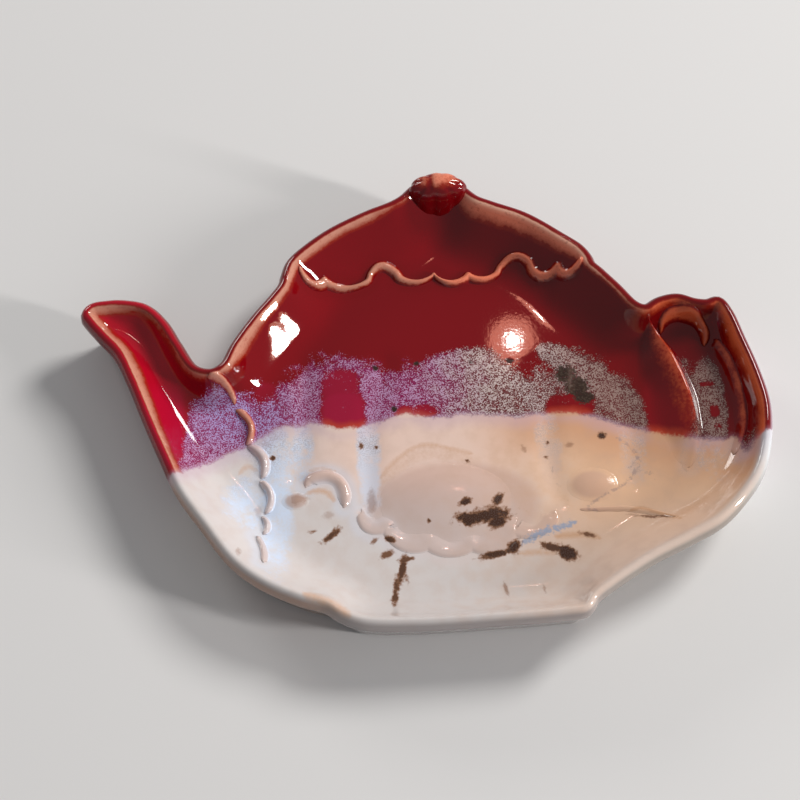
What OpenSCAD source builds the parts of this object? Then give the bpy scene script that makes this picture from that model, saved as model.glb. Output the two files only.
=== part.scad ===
// Tea bag rest: a shallow pressed stoneware dish in the outline of a teapot, with ridges and
// sprigs of clay luted onto it before firing. Millimetres, +Z up, standing on the table at z = 0.
// The origin is on the table, under the middle of the dish. The spout points to -X, the knob to +Y.

/* [Dish] */
// Width over the spout tip and the handle
dish_w = 118.4; // [90:0.4:160]
// Depth over the foot and the knob
dish_d = 85.5; // [66:0.5:115]
// Height of the rim above the table
dish_h = 12; // [10.5:0.5:16]
// Clay left under the middle of the basin
floor_t = 3.3; // [2.5:0.1:4.5]

/* [Rim and wall] */
// How far the rim swells out past its crest
rim_out = 1.5; // [1:0.1:1.8]
// Drop from the crest to the widest line of the rim
rim_drop = 2.4; // [1.6:0.1:3.4]
// Run of the inner slope from the crest down to the belly floor
cove_run = 10; // [8:0.5:11]
// How far the wall draws in under the crest at the table
foot_in = 0.8; // [0.2:0.1:1.4]
// Round edge where the wall meets the table
foot_edge = 0.6; // [0.3:0.1:1]
// Hollow under the dish, inside its dry foot ring
recess_h = 1.1; // [0.5:0.1:1.8]

/* [Knob] */
// Width of the fluted knob, as a share of the dish's width
knob_w_share = 0.093; // [0.07:0.001:0.11]
// Depth of the knob from front to back, as a share of the dish's depth
knob_d_share = 0.0725; // [0.054:0.0005:0.082]
// Height of the knob above the rim
knob_rise = 3; // [2:0.2:4.2]
// Depth of the flutes pressed into the knob
knob_flute = 0.5; // [0.2:0.05:0.8]

/* [Scalloped ridges] */
// Width of the scalloped ridge along the lid
lid_bead_w = 1.5; // [1:0.1:2]
// Height of the ridge along the lid
lid_bead_h = 0.95; // [0.5:0.05:1.5]
// Width of the scallops where the spout meets the belly
spout_bead_w = 1.6; // [1:0.1:2]
// Height of the spout scallops
spout_bead_h = 0.9; // [0.5:0.05:1.5]

/* [Handle relief] */
// Width of the ridge round the top of the handle opening
loop_bead_w = 1.4; // [1:0.1:1.8]
// Height of that ridge
loop_bead_h = 1.5; // [0.8:0.1:2.2]
// Width of the rib along the handle strap
rib_w = 1; // [0.7:0.1:1.3]
// Height of the rib
rib_h = 0.7; // [0.4:0.05:1.1]
// Belly side width of the ridge between belly and handle
edge_slope_w = 5; // [3:0.25:6]
// Handle side width of the same ridge
edge_drop_w = 1.4; // [1:0.1:1.8]
// Height of the ridge between belly and handle
edge_h = 3.1; // [1.8:0.1:3.8]

/* [Flower spray] */
// Width of the domed flower in the middle
flower_w = 21.6; // [18:0.2:22.4]
// Depth of the flower
flower_d = 13; // [9:0.2:13.4]
// Rise of the flower above the floor
flower_rise = 1.7; // [0.8:0.1:2.4]
// Width of the scalloped petals below the flower
petal_bead_w = 1.7; // [1.2:0.1:1.9]
// Height of the petals
petal_bead_h = 0.75; // [0.4:0.05:1.2]
// Width of the crescent of the left bud
left_bud_w = 2.4; // [1.6:0.1:2.8]
// Height of the left bud
left_bud_h = 1.1; // [0.6:0.1:1.6]
// Width of the leaf beside the left bud
leaf_w = 4.4; // [3:0.2:5]
// Depth of the leaf
leaf_d = 3; // [2:0.2:3.4]
// Rise of the leaf
leaf_rise = 0.7; // [0.4:0.05:1.1]
// Width of the right bud
right_bud_w = 8.4; // [6:0.2:9.6]
// Depth of the right bud
right_bud_d = 5.8; // [4:0.2:6.4]
// Rise of the right bud
right_bud_rise = 1.3; // [0.7:0.1:2]
// Width of the stem that runs to the right
stem_w = 1.1; // [0.8:0.1:1.4]
// Height of the stem
stem_h = 0.5; // [0.3:0.05:0.8]

/* [Fit] */
// Joint left between the dish and each piece luted onto it
lute = 0.05; // [0.03:0.01:0.1]

/* [Hidden] */

crimson = [0.52, 0.06, 0.09];
tan_break = [0.72, 0.42, 0.28];
cream = [0.87, 0.78, 0.70];
rust = [0.62, 0.32, 0.14];

// Span of the crest line, which the outline's shares follow
crest_w = dish_w - 2 * rim_out;
crest_d = dish_d - 2 * rim_out;
floor_z = recess_h + floor_t;
basin_depth = dish_h - floor_z;
knob_w = knob_w_share * dish_w;
knob_d = knob_d_share * dish_d;
// Spacing of the points along the rim, and along a ridge, as shares of crest_w
rim_step_share = 0.0195;
bead_step_share = 0.007;
rim_step = rim_step_share * crest_w;
bead_step = bead_step_share * crest_w;
// Points of the rim, either way, that settle which way the inner slope runs, and those over
// which its lower end is eased
aim_n = 4;
ease_n = 2;

// Crest of the rim, anticlockwise seen from above, from the lid left of the knob. Each row has
// the shares of crest_w and crest_d that place it, and the share of cove_run that the slope
// inside it takes.
rim_shares = [
    [-0.068, 0.424, 1.00],
    [-0.124, 0.385, 1.00],
    [-0.165, 0.344, 1.00],
    [-0.188, 0.312, 0.95],
    [-0.196, 0.283, 0.95],
    [-0.201, 0.259, 0.95],
    [-0.215, 0.231, 0.95],
    [-0.246, 0.178, 0.90],
    [-0.275, 0.119, 0.85],
    [-0.293, 0.072, 0.80],
    [-0.314, 0.056, 0.70],
    [-0.342, 0.068, 0.42],
    [-0.369, 0.128, 0.36],
    [-0.390, 0.181, 0.34],
    [-0.415, 0.217, 0.34],
    [-0.445, 0.229, 0.34],
    [-0.473, 0.230, 0.33],
    [-0.493, 0.225, 0.30],
    [-0.500, 0.212, 0.30],
    [-0.494, 0.197, 0.30],
    [-0.475, 0.163, 0.33],
    [-0.450, 0.120, 0.35],
    [-0.429, 0.055, 0.36],
    [-0.405, -0.034, 0.42],
    [-0.380, -0.122, 0.62],
    [-0.357, -0.197, 0.85],
    [-0.322, -0.273, 0.95],
    [-0.281, -0.354, 0.95],
    [-0.241, -0.400, 0.90],
    [-0.190, -0.436, 0.80],
    [-0.152, -0.455, 0.72],
    [-0.133, -0.475, 0.68],
    [-0.105, -0.491, 0.64],
    [-0.032, -0.499, 0.62],
    [0.072, -0.498, 0.62],
    [0.172, -0.494, 0.62],
    [0.205, -0.488, 0.64],
    [0.216, -0.467, 0.68],
    [0.240, -0.443, 0.74],
    [0.302, -0.392, 0.85],
    [0.363, -0.353, 0.90],
    [0.409, -0.320, 0.85],
    [0.445, -0.274, 0.75],
    [0.474, -0.221, 0.62],
    [0.493, -0.148, 0.50],
    [0.500, -0.074, 0.44],
    [0.493, 0.000, 0.42],
    [0.479, 0.080, 0.40],
    [0.467, 0.142, 0.40],
    [0.456, 0.168, 0.40],
    [0.439, 0.163, 0.40],
    [0.420, 0.167, 0.40],
    [0.395, 0.180, 0.40],
    [0.368, 0.174, 0.45],
    [0.345, 0.158, 0.60],
    [0.329, 0.167, 0.80],
    [0.302, 0.216, 0.95],
    [0.279, 0.256, 1.00],
    [0.268, 0.274, 1.00],
    [0.264, 0.291, 1.00],
    [0.254, 0.314, 1.00],
    [0.228, 0.345, 1.00],
    [0.176, 0.400, 1.00],
    [0.124, 0.434, 1.00],
    [0.100, 0.451, 1.00],
    [0.078, 0.479, 1.00],
    [0.044, 0.500, 1.00],
    [0.012, 0.488, 1.00],
    [-0.010, 0.461, 1.00],
    [-0.028, 0.446, 1.00]
];

// How far the floor lies above the middle of the basin, along the dish from spout to handle: the
// share of crest_w, then the share of the basin's depth
rise_shares = [
    [-0.500, 0.68],
    [-0.430, 0.54],
    [-0.380, 0.36],
    [-0.340, 0.18],
    [-0.300, 0.05],
    [-0.260, 0.00],
    [0.310, 0.00],
    [0.345, 0.05],
    [0.380, 0.14],
    [0.420, 0.22],
    [0.460, 0.27],
    [0.500, 0.28]
];

// Stations of the inner slope, as shares of its run
slope_shares = [0.09, 0.2, 0.33, 0.48, 0.64, 0.82, 1];
slope_bias_share = 0.7;
// Angles at which the swelling of the rim is cut, from its widest line up to the crest
swell_angles = [0, 30, 60];
// Inner and outer line of the hollow under the dish, as shares of the slope's run
recess_share = 0.85;
ring_share = 0.7;

// Where the knob sits, and how many flutes and facets it has
knob_shares = [0.044, 0.477];
knob_flutes = 8;
knob_sides = 48;
flower_sides = 36;
bud_sides = 24;
dome_shares = [0.3, 0.55, 0.75, 0.9, 0.97, 1];

// Knots of the lid ridge, left to right: place, and how far the ridge bows to the next knot,
// up at the two hoops and down at each scallop, all as shares of crest_w and crest_d
lid_shares = [
    [-0.176, 0.304, -0.018],
    [-0.139, 0.293, -0.013],
    [-0.072, 0.305, 0.029],
    [-0.024, 0.310, -0.015],
    [0.031, 0.314, -0.020],
    [0.085, 0.307, -0.013],
    [0.131, 0.310, 0.026],
    [0.182, 0.309, -0.016],
    [0.221, 0.290, -0.018],
    [0.255, 0.288, 0]
];

// Spout scallops, top to bottom: each row has both ends and its bow towards the belly
spout_shares = [
    [-0.317, 0.048, -0.284, 0.018, 0.013],
    [-0.280, 0.003, -0.266, -0.071, 0.018],
    [-0.264, -0.078, -0.245, -0.148, 0.018],
    [-0.247, -0.159, -0.241, -0.228, 0.016],
    [-0.246, -0.238, -0.244, -0.276, 0.009],
    [-0.253, -0.286, -0.243, -0.352, 0.006]
];

// Ridge between belly and handle: place, and the shares of its full width and height
edge_shares = [
    [0.354, 0.143, 0.30, 0.30],
    [0.360, 0.130, 0.50, 0.62],
    [0.368, 0.106, 0.75, 0.90],
    [0.377, 0.076, 0.95, 1.00],
    [0.385, 0.042, 1.00, 0.94],
    [0.392, 0.008, 1.00, 0.86],
    [0.397, -0.027, 1.00, 0.76],
    [0.400, -0.061, 1.00, 0.66],
    [0.401, -0.091, 0.95, 0.54],
    [0.399, -0.122, 0.85, 0.42],
    [0.394, -0.150, 0.70, 0.30],
    [0.387, -0.178, 0.50, 0.18]
];

// Ridge round the top of the handle opening, from the belly round to the strap
loop_shares = [
    [0.371, 0.131, 0.7],
    [0.374, 0.146, 0.9],
    [0.383, 0.155, 1],
    [0.396, 0.158, 1],
    [0.410, 0.154, 1],
    [0.423, 0.146, 1],
    [0.432, 0.133, 1],
    [0.437, 0.115, 1],
    [0.435, 0.096, 0.8]
];

// Rib along the strap of the handle, top to bottom
rib_shares = [
    [0.452, 0.100, 0.8],
    [0.459, 0.073, 1],
    [0.466, 0.043, 1],
    [0.471, 0.011, 1],
    [0.474, -0.020, 1],
    [0.475, -0.050, 1],
    [0.474, -0.080, 1],
    [0.471, -0.111, 0.9],
    [0.464, -0.138, 0.8],
    [0.453, -0.165, 0.6]
];

// Flower spray on the belly floor
flower_shares = [0.024, -0.223];
petal_shares = [
    [-0.103, -0.240, -0.021],
    [-0.067, -0.276, -0.024],
    [-0.006, -0.316, -0.018],
    [0.057, -0.325, -0.021],
    [0.120, -0.298, -0.022],
    [0.184, -0.266, 0]
];
left_bud_shares = [
    [-0.182, -0.171, 0.6],
    [-0.176, -0.157, 0.9],
    [-0.162, -0.150, 1],
    [-0.146, -0.151, 1],
    [-0.132, -0.162, 1],
    [-0.124, -0.182, 1],
    [-0.122, -0.204, 0.9],
    [-0.125, -0.222, 0.6]
];
leaf_shares = [-0.197, -0.205];
right_bud_shares = [0.242, -0.202];
stem_shares = [
    [0.220, -0.256, 0.6],
    [0.255, -0.258, 0.8],
    [0.291, -0.260, 1],
    [0.325, -0.272, 1],
    [0.355, -0.292, 0.7]
];

// Section of a round ridge, and of the one between belly and handle, which falls steeply to the
// handle and softly to the belly: places across the half width, and heights there, as shares
bead_shares = [[-1, 0], [-0.78, 0.63], [-0.32, 0.95], [0.32, 0.95], [0.78, 0.63], [1, 0]];
edge_section_shares = [[-1, 0], [-0.75, 0.25], [-0.45, 0.72], [-0.15, 0.96], [0.06, 1], [0.22, 0.86],
    [0.42, 0.54], [0.66, 0.22], [0.85, 0.06], [1, 0]];
// How far out the sole of a ridge is drawn point by point, as a share of its half width
sole_share = 0.7;
// Stretch of a ridge's end, in half widths, over which it rounds off, and its last size
end_reach_share = 1.6;
end_size_share = 0.3;
// Fullness of a bow: smaller is rounder
bow_share = 0.7;

// Length of a vector seen from above
function flat(v) = norm([v.x, v.y]);

// Unit vector across v, to its right
function across(v) = [v.y, -v.x] / norm([v.x, v.y]);

// Point at share u of the smooth curve through four knots, between the middle two
function curve_at(a, b, c, d, u) =
    let (
        t1 = sqrt(flat(b - a)),
        t2 = t1 + sqrt(flat(c - b)),
        t3 = t2 + sqrt(flat(d - c)),
        t = t1 + (t2 - t1) * u,
        ab = a + (b - a) * t / t1,
        bc = b + (c - b) * (t - t1) / (t2 - t1),
        cd = c + (d - c) * (t - t2) / (t3 - t2),
        abc = ab + (bc - ab) * t / t2,
        bcd = bc + (cd - bc) * (t - t1) / (t3 - t1)
    )
    abc + (bcd - abc) * (t - t1) / (t2 - t1);

// How many steps a stretch between two knots takes
function steps(a, b, step) = max(1, round(flat(b - a) / step));

// Smooth closed curve through all knots
function ring_curve(knots, step) =
    let (n = len(knots))
    [for (k = [0 : n - 1])
        let (a = knots[(k + n - 1) % n], b = knots[k], c = knots[(k + 1) % n], d = knots[(k + 2) % n])
        for (m = [0 : steps(b, c, step) - 1]) curve_at(a, b, c, d, m / steps(b, c, step))];

// Smooth open curve through all knots
function open_curve(knots, step) =
    let (n = len(knots), ends = concat([2 * knots[0] - knots[1]], knots, [2 * knots[n - 1] - knots[n - 2]]))
    [for (k = [1 : n - 1])
        for (m = [0 : steps(knots[k - 1], knots[k], step) - (k == n - 1 ? 0 : 1)])
            curve_at(ends[k - 1], ends[k], ends[k + 1], ends[k + 2], m / steps(knots[k - 1], knots[k], step))];

// One bowed stretch between two places
function bow(a, b, sag, n) =
    [for (m = [0 : n]) a + (b - a) * m / n - across(b - a) * sag * pow(abs(sin(180 * m / n)), bow_share)];

// The crest of the rim, brought to the middle of the frame
rim_knots = [for (r = rim_shares) [r[0] * crest_w, r[1] * crest_d, r[2] * cove_run]];
rim_raw = ring_curve(rim_knots, rim_step);
rim_n = len(rim_raw);
rim_xs = [for (p = rim_raw) p.x];
rim_ys = [for (p = rim_raw) p.y];
rim_mid = [max(rim_xs) + min(rim_xs), max(rim_ys) + min(rim_ys)] / 2;
crest = [for (p = rim_raw) [p.x - rim_mid.x, p.y - rim_mid.y]];
run = [for (p = rim_raw) p[2]];
function wrap(i) = (i + rim_n) % rim_n;
outward = [for (i = [0 : rim_n - 1]) across(crest[wrap(i + 1)] - crest[wrap(i - 1)])];

// The way the inner slope runs at each point, steadied over a stretch of rim
function sum_of(list) = list * [for (v = list) 1];
function sum_xy(list) = [sum_of([for (v = list) v.x]), sum_of([for (v = list) v.y])];
inward = [for (i = [0 : rim_n - 1])
    let (s = sum_xy([for (k = [-aim_n : aim_n]) outward[wrap(i + k)]])) -s / norm(s)];
function inner_line(share) = [for (i = [0 : rim_n - 1]) crest[i] + inward[i] * run[i] * share];
function eased(line, k) =
    [for (i = [0 : rim_n - 1]) sum_xy([for (j = [-k : k]) line[wrap(i + j)]]) / (2 * k + 1)];
slope_foot = eased(inner_line(1), ease_n);
way = [for (i = [0 : rim_n - 1]) slope_foot[i] - crest[i]];

// Height of the floor at a place along the dish, and height left at share s of the slope
function floor_at(x) = floor_z + basin_depth * lookup((x + rim_mid.x) / crest_w, rise_shares);
function slope(s) = 0.5 + 0.5 * cos(180 * pow(s, slope_bias_share));
slope_table = concat([[0, 1]], [for (s = slope_shares) [s, slope(s)]]);
function slope_z(i, height) = floor_at(slope_foot[i].x) * (1 - height) + dish_h * height;

function out_ring(d, z) = [for (i = [0 : rim_n - 1]) concat(crest[i] + outward[i] * d, z)];
function level_ring(line, z) = [for (p = line) concat(p, z)];
function slope_ring(s) = [for (i = [0 : rim_n - 1]) concat(crest[i] + way[i] * s, slope_z(i, slope(s)))];

// Faces of a stack of closed rings with n points each, seen from outside
function wall_faces(rings, n) =
    [for (r = [0 : rings - 2], i = [0 : n - 1])
        let (a = r * n + i, b = r * n + (i + 1) % n)
        each [[a, a + n, b + n], [a, b + n, b]]];

// Faces that close the ring starting at point first, whose far left and right ends are known.
// The two chains between them are zipped up in step from left to right.
function left_end(ring) = search(min([for (p = ring) p.x]), [for (p = ring) p.x])[0];
function right_end(ring) = search(max([for (p = ring) p.x]), [for (p = ring) p.x])[0];
function chain(from, to, n) = [for (i = [from : from + (to - from + n) % n]) i % n];
function low_next(s, low, up, ring) =
    s[1] >= len(up) - 1 || (s[0] < len(low) - 1 && ring[low[s[0] + 1]].x < ring[up[s[1] + 1]].x);
function zip_faces(ring, first) =
    let (
        n = len(ring),
        l = left_end(ring),
        r = right_end(ring),
        low = chain(l, r, n),
        back = chain((r + 1) % n, (l + n - 1) % n, n),
        up = [for (i = [len(back) - 1 : -1 : 0]) back[i]]
    )
    [for (s = [0, 0]; s[0] < len(low) - 1 || s[1] < len(up) - 1;
            s = low_next(s, low, up, ring) ? [s[0] + 1, s[1]] : [s[0], s[1] + 1])
        let (j = low[s[0]], k = up[s[1]], m = low_next(s, low, up, ring) ? low[s[0] + 1] : up[s[1] + 1])
        [first + k, first + m, first + j]];
function turned(faces) = [for (f = faces) [f[2], f[1], f[0]]];

dish_rings = concat(
    [level_ring(eased(inner_line(recess_share), 2 * ease_n), recess_h)],
    [level_ring(eased(inner_line(ring_share), 2 * ease_n), 0)],
    [out_ring(-foot_in - foot_edge, 0)],
    [out_ring(-foot_in, foot_edge)],
    [for (a = swell_angles) out_ring(rim_out * cos(a), dish_h - rim_drop * (1 - sin(a)))],
    [out_ring(0, dish_h)],
    [for (s = slope_shares) slope_ring(s)]);
dish_floor = dish_rings[len(dish_rings) - 1];

// Height of the dish's upper face under place p, between the two nearest lines that run from the
// crest to the floor. Past the floor end of a line it is the floor's, past the crest the rim's.
function rung_share(p, i) = min(1, max(0, (p - crest[i]) * way[i] / (way[i] * way[i])));
function rung_gap(p, i) = norm(p - crest[i] - way[i] * rung_share(p, i));
function rim_fall(past) = rim_drop * (1 - sqrt(max(0, 1 - pow(past / rim_out, 2))));
function rung_z(p, i) =
    let (u = rung_share(p, i), past = max(0, (crest[i] - p) * way[i] / norm(way[i])))
    u >= 1 ? floor_at(p.x) : u > 0 ? slope_z(i, lookup(u, slope_table)) : dish_h - rim_fall(past);
function surface_z(p) =
    let (
        gaps = [for (i = [0 : rim_n - 1]) rung_gap(p, i)],
        i = search(min(gaps), gaps)[0],
        j = gaps[wrap(i + 1)] < gaps[wrap(i - 1)] ? wrap(i + 1) : wrap(i - 1)
    )
    (rung_z(p, i) * gaps[j] + rung_z(p, j) * gaps[i]) / (gaps[i] + gaps[j]);

function place(shares) = [shares[0] * crest_w - rim_mid.x, shares[1] * crest_d - rim_mid.y];
function sized_place(row) = concat(place(row), row[2], row[len(row) - 1]);

// Stretch of scallops through the rows of a table
function scallops(table) =
    [for (k = [0 : len(table) - 2])
        let (
            a = place(table[k]),
            b = place(table[k + 1]),
            n = steps(a, b, bead_step),
            row = bow(a, b, table[k][2] * crest_d, n)
        )
        for (m = [0 : n - (k == len(table) - 2 ? 0 : 1)]) concat(row[m], 1, 1)];

// Size of a ridge at point i of its path, which rounds off at both ends
function end_size(path, i, half_w) =
    let (
        away = min(flat(path[i] - path[0]), flat(path[i] - path[len(path) - 1])),
        u = min(1, away / (half_w * end_reach_share))
    )
    end_size_share + (1 - end_size_share) * sqrt(1 - (1 - u) * (1 - u));

// Direction across a path at point i, steadied over its neighbours
function path_across(path, i) =
    across(path[min(i + 2, len(path) - 1)] - path[max(i - 2, 0)]);

// A ridge of clay along a path of places with their shares of width and height. left_w and
// right_w are its reaches to either side.
module ridge(path, section, left_w, right_w, high) {
    n = len(path);
    sole = [for (k = [len(section) - 1 : -1 : 0]) if (abs(section[k][0]) < sole_share) [section[k][0], 0]];
    outline = concat(section, sole);
    m = len(section);
    t = len(outline);
    rings = [for (i = [0 : n - 1])
        let (size = end_size(path, i, min(left_w, right_w)), side = path_across(path, i))
        for (s = outline)
            let (p = [path[i].x, path[i].y] + side * s[0] * (s[0] < 0 ? left_w : right_w) * path[i][2] * size)
            [p.x, p.y, surface_z(p) + lute + high * s[1] * path[i][3] * size]];
    last = (n - 1) * t;
    start_cap = [for (k = [1 : t - 2]) [m, (m + k) % t, (m + k + 1) % t]];
    end_cap = [for (k = [1 : t - 2]) [last + m, last + (m + k + 1) % t, last + (m + k) % t]];
    polyhedron(rings, concat(wall_faces(n, t), start_cap, end_cap));
}
module bead(path, w, high) {
    ridge(path, bead_shares, w / 2, w / 2, high);
}

// A dome of clay on an oval base, with its top at height peak, and flutes pressed into its side
module dome(centre, w, d, peak, sides, flutes = 0, flute = 0) {
    lines = [for (s = dome_shares)
        [for (k = [0 : sides - 1])
            let (
                a = 360 * k / sides,
                dent = flutes > 0 ? flute * s * pow(cos(180 * flutes * k / sides), 4) : 0
            )
            centre + [(w / 2 - dent) * s * cos(a), (d / 2 - dent) * s * sin(a)]]];
    edge = lines[len(lines) - 1];
    heel = base_of(centre);
    upper = [for (j = [0 : len(lines) - 1])
        [for (k = [0 : sides - 1])
            let (foot = base_of(edge[k]), s = dome_shares[j])
            concat(lines[j][k], foot + (peak - foot) * sqrt(1 - s * s))]];
    under = [for (j = [0 : len(lines) - 2]) [for (p = lines[j]) concat(p, base_of(p))]];
    stack = concat(under, [for (j = [len(upper) - 1 : -1 : 0]) upper[j]]);
    rows = len(stack);
    points = concat([for (row = stack) each row], [concat(centre, peak), concat(centre, heel)]);
    last = (rows - 1) * sides;
    top_cap = [for (k = [0 : sides - 1]) [last + k, last + sides, last + (k + 1) % sides]];
    low_cap = [for (k = [0 : sides - 1]) [(k + 1) % sides, last + sides + 1, k]];
    polyhedron(points, concat(wall_faces(rows, sides), top_cap, low_cap));
}
function base_of(p) = surface_z(p) + lute;

module dish() {
    rows = len(dish_rings);
    low_cap = turned(zip_faces(dish_rings[0], 0));
    top_cap = zip_faces(dish_floor, (rows - 1) * rim_n);
    color(cream)
        polyhedron([for (row = dish_rings) each row], concat(wall_faces(rows, rim_n), low_cap, top_cap));
}

module lid_knob() {
    color(crimson)
        dome(place(knob_shares), knob_w, knob_d, dish_h + knob_rise, knob_sides, knob_flutes, knob_flute);
}

module lid_scallops() {
    color(tan_break)
        bead(scallops(lid_shares), lid_bead_w, lid_bead_h);
}

module spout_scallops() {
    color(tan_break)
        for (row = spout_shares) {
            a = place([row[0], row[1]]);
            b = place([row[2], row[3]]);
            bead([for (p = bow(a, b, row[4] * crest_d, steps(a, b, bead_step))) concat(p, 1, 1)],
                spout_bead_w, spout_bead_h);
        }
}

module belly_edge() {
    color(crimson)
        ridge(open_curve([for (row = edge_shares) sized_place(row)], 2 * bead_step),
            edge_section_shares, edge_drop_w, edge_slope_w, edge_h);
}

module handle_loop() {
    color(tan_break)
        bead(open_curve([for (row = loop_shares) sized_place(row)], bead_step), loop_bead_w, loop_bead_h);
}

module handle_rib() {
    color(crimson)
        bead(open_curve([for (row = rib_shares) sized_place(row)], 2 * bead_step), rib_w, rib_h);
}

module flower_dome() {
    centre = place(flower_shares);
    color(cream)
        dome(centre, flower_w, flower_d, base_of(centre) + flower_rise, flower_sides);
}

module petal_skirt() {
    color(cream)
        bead(scallops(petal_shares), petal_bead_w, petal_bead_h);
}

module left_bud() {
    color(cream)
        bead(open_curve([for (row = left_bud_shares) sized_place(row)], bead_step), left_bud_w, left_bud_h);
}

module left_leaf() {
    centre = place(leaf_shares);
    color(rust)
        dome(centre, leaf_w, leaf_d, base_of(centre) + leaf_rise, bud_sides);
}

module right_bud() {
    centre = place(right_bud_shares);
    color(cream)
        dome(centre, right_bud_w, right_bud_d, base_of(centre) + right_bud_rise, bud_sides);
}

module right_stem() {
    color(rust)
        bead(open_curve([for (row = stem_shares) sized_place(row)], 2 * bead_step), stem_w, stem_h);
}

dish();
lid_knob();
lid_scallops();
spout_scallops();
belly_edge();
handle_loop();
handle_rib();
flower_dome();
petal_skirt();
left_bud();
left_leaf();
right_bud();
right_stem();
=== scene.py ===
import math

import bpy
import numpy as np
from bpy.props import FloatProperty, FloatVectorProperty, PointerProperty
from mathutils import Matrix, Vector
from mathutils.geometry import delaunay_2d_cdt


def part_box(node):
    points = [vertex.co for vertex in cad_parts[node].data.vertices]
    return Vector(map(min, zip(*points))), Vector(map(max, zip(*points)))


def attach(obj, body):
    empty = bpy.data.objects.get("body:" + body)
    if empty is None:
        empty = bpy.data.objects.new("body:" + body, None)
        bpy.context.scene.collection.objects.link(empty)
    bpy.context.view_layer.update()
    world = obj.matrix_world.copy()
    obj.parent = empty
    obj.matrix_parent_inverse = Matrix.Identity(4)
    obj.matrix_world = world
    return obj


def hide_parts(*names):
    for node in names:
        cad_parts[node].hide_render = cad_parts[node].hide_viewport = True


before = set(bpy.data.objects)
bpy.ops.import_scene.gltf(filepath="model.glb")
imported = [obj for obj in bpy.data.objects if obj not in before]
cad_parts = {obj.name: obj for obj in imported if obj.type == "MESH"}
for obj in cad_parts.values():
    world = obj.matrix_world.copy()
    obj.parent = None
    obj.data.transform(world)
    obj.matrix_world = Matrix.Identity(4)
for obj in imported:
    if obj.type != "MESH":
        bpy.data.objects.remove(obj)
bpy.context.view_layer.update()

bl_info = {
    "name": "Teapot Tea Bag Rest",
    "version": (1, 0, 0),
    "blender": (4, 5, 0),
    "location": "3D View > Sidebar > Tea Rest",
    "description": "Dresses a teapot-shaped stoneware tea bag rest in its clay relief and dipped glazes",
    "category": "Object",
}

MM = 0.001
DISH_LOW, DISH_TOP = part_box("dish")
KNOB_LOW, KNOB_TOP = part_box("lid_knob")
BODY = "root"

# Crest of the rim, anticlockwise from the lid left of the knob: shares of the crest's width and
# depth, and the share of the inner slope's run.
RIM_SHARES = [
    (-0.068, 0.424, 1.00), (-0.124, 0.385, 1.00), (-0.165, 0.344, 1.00), (-0.188, 0.312, 0.95),
    (-0.196, 0.283, 0.95), (-0.201, 0.259, 0.95), (-0.215, 0.231, 0.95), (-0.246, 0.178, 0.90),
    (-0.275, 0.119, 0.85), (-0.293, 0.072, 0.80), (-0.314, 0.056, 0.70), (-0.342, 0.068, 0.42),
    (-0.369, 0.128, 0.36), (-0.390, 0.181, 0.34), (-0.415, 0.217, 0.34), (-0.445, 0.229, 0.34),
    (-0.473, 0.230, 0.33), (-0.493, 0.225, 0.30), (-0.500, 0.212, 0.30), (-0.494, 0.197, 0.30),
    (-0.475, 0.163, 0.33), (-0.450, 0.120, 0.35), (-0.429, 0.055, 0.36), (-0.405, -0.034, 0.42),
    (-0.380, -0.122, 0.62), (-0.357, -0.197, 0.85), (-0.322, -0.273, 0.95), (-0.281, -0.354, 0.95),
    (-0.241, -0.400, 0.90), (-0.190, -0.436, 0.80), (-0.152, -0.455, 0.72), (-0.133, -0.475, 0.68),
    (-0.105, -0.491, 0.64), (-0.032, -0.499, 0.62), (0.072, -0.498, 0.62), (0.172, -0.494, 0.62),
    (0.205, -0.488, 0.64), (0.216, -0.467, 0.68), (0.240, -0.443, 0.74), (0.302, -0.392, 0.85),
    (0.363, -0.353, 0.90), (0.409, -0.320, 0.85), (0.445, -0.274, 0.75), (0.474, -0.221, 0.62),
    (0.493, -0.148, 0.50), (0.500, -0.074, 0.44), (0.493, 0.000, 0.42), (0.479, 0.080, 0.40),
    (0.467, 0.142, 0.40), (0.456, 0.168, 0.40), (0.439, 0.163, 0.40), (0.420, 0.167, 0.40),
    (0.395, 0.180, 0.40), (0.368, 0.174, 0.45), (0.345, 0.158, 0.60), (0.329, 0.167, 0.80),
    (0.302, 0.216, 0.95), (0.279, 0.256, 1.00), (0.268, 0.274, 1.00), (0.264, 0.291, 1.00),
    (0.254, 0.314, 1.00), (0.228, 0.345, 1.00), (0.176, 0.400, 1.00), (0.124, 0.434, 1.00),
    (0.100, 0.451, 1.00), (0.078, 0.479, 1.00), (0.044, 0.500, 1.00), (0.012, 0.488, 1.00),
    (-0.010, 0.461, 1.00), (-0.028, 0.446, 1.00),
]
# Rise of the floor along the dish: share of the width, share of the basin's depth
RISE_SHARES = [
    (-0.50, 0.68), (-0.43, 0.54), (-0.38, 0.36), (-0.34, 0.18), (-0.30, 0.05), (-0.26, 0.0),
    (0.31, 0.0), (0.345, 0.05), (0.38, 0.14), (0.42, 0.22), (0.46, 0.27), (0.50, 0.28),
]
# Knots of scalloped ridges: place, then the bow to the next knot
LID_SHARES = [
    (-0.176, 0.304, -0.018), (-0.139, 0.293, -0.013), (-0.072, 0.305, 0.029), (-0.024, 0.310, -0.015),
    (0.031, 0.314, -0.020), (0.085, 0.307, -0.013), (0.131, 0.310, 0.026), (0.182, 0.309, -0.016),
    (0.221, 0.290, -0.018), (0.255, 0.288, 0.0),
]
PETAL_SHARES = [
    (-0.103, -0.240, -0.021), (-0.067, -0.276, -0.024), (-0.006, -0.316, -0.018),
    (0.057, -0.325, -0.021), (0.120, -0.298, -0.022), (0.184, -0.266, 0.0),
]
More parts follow.
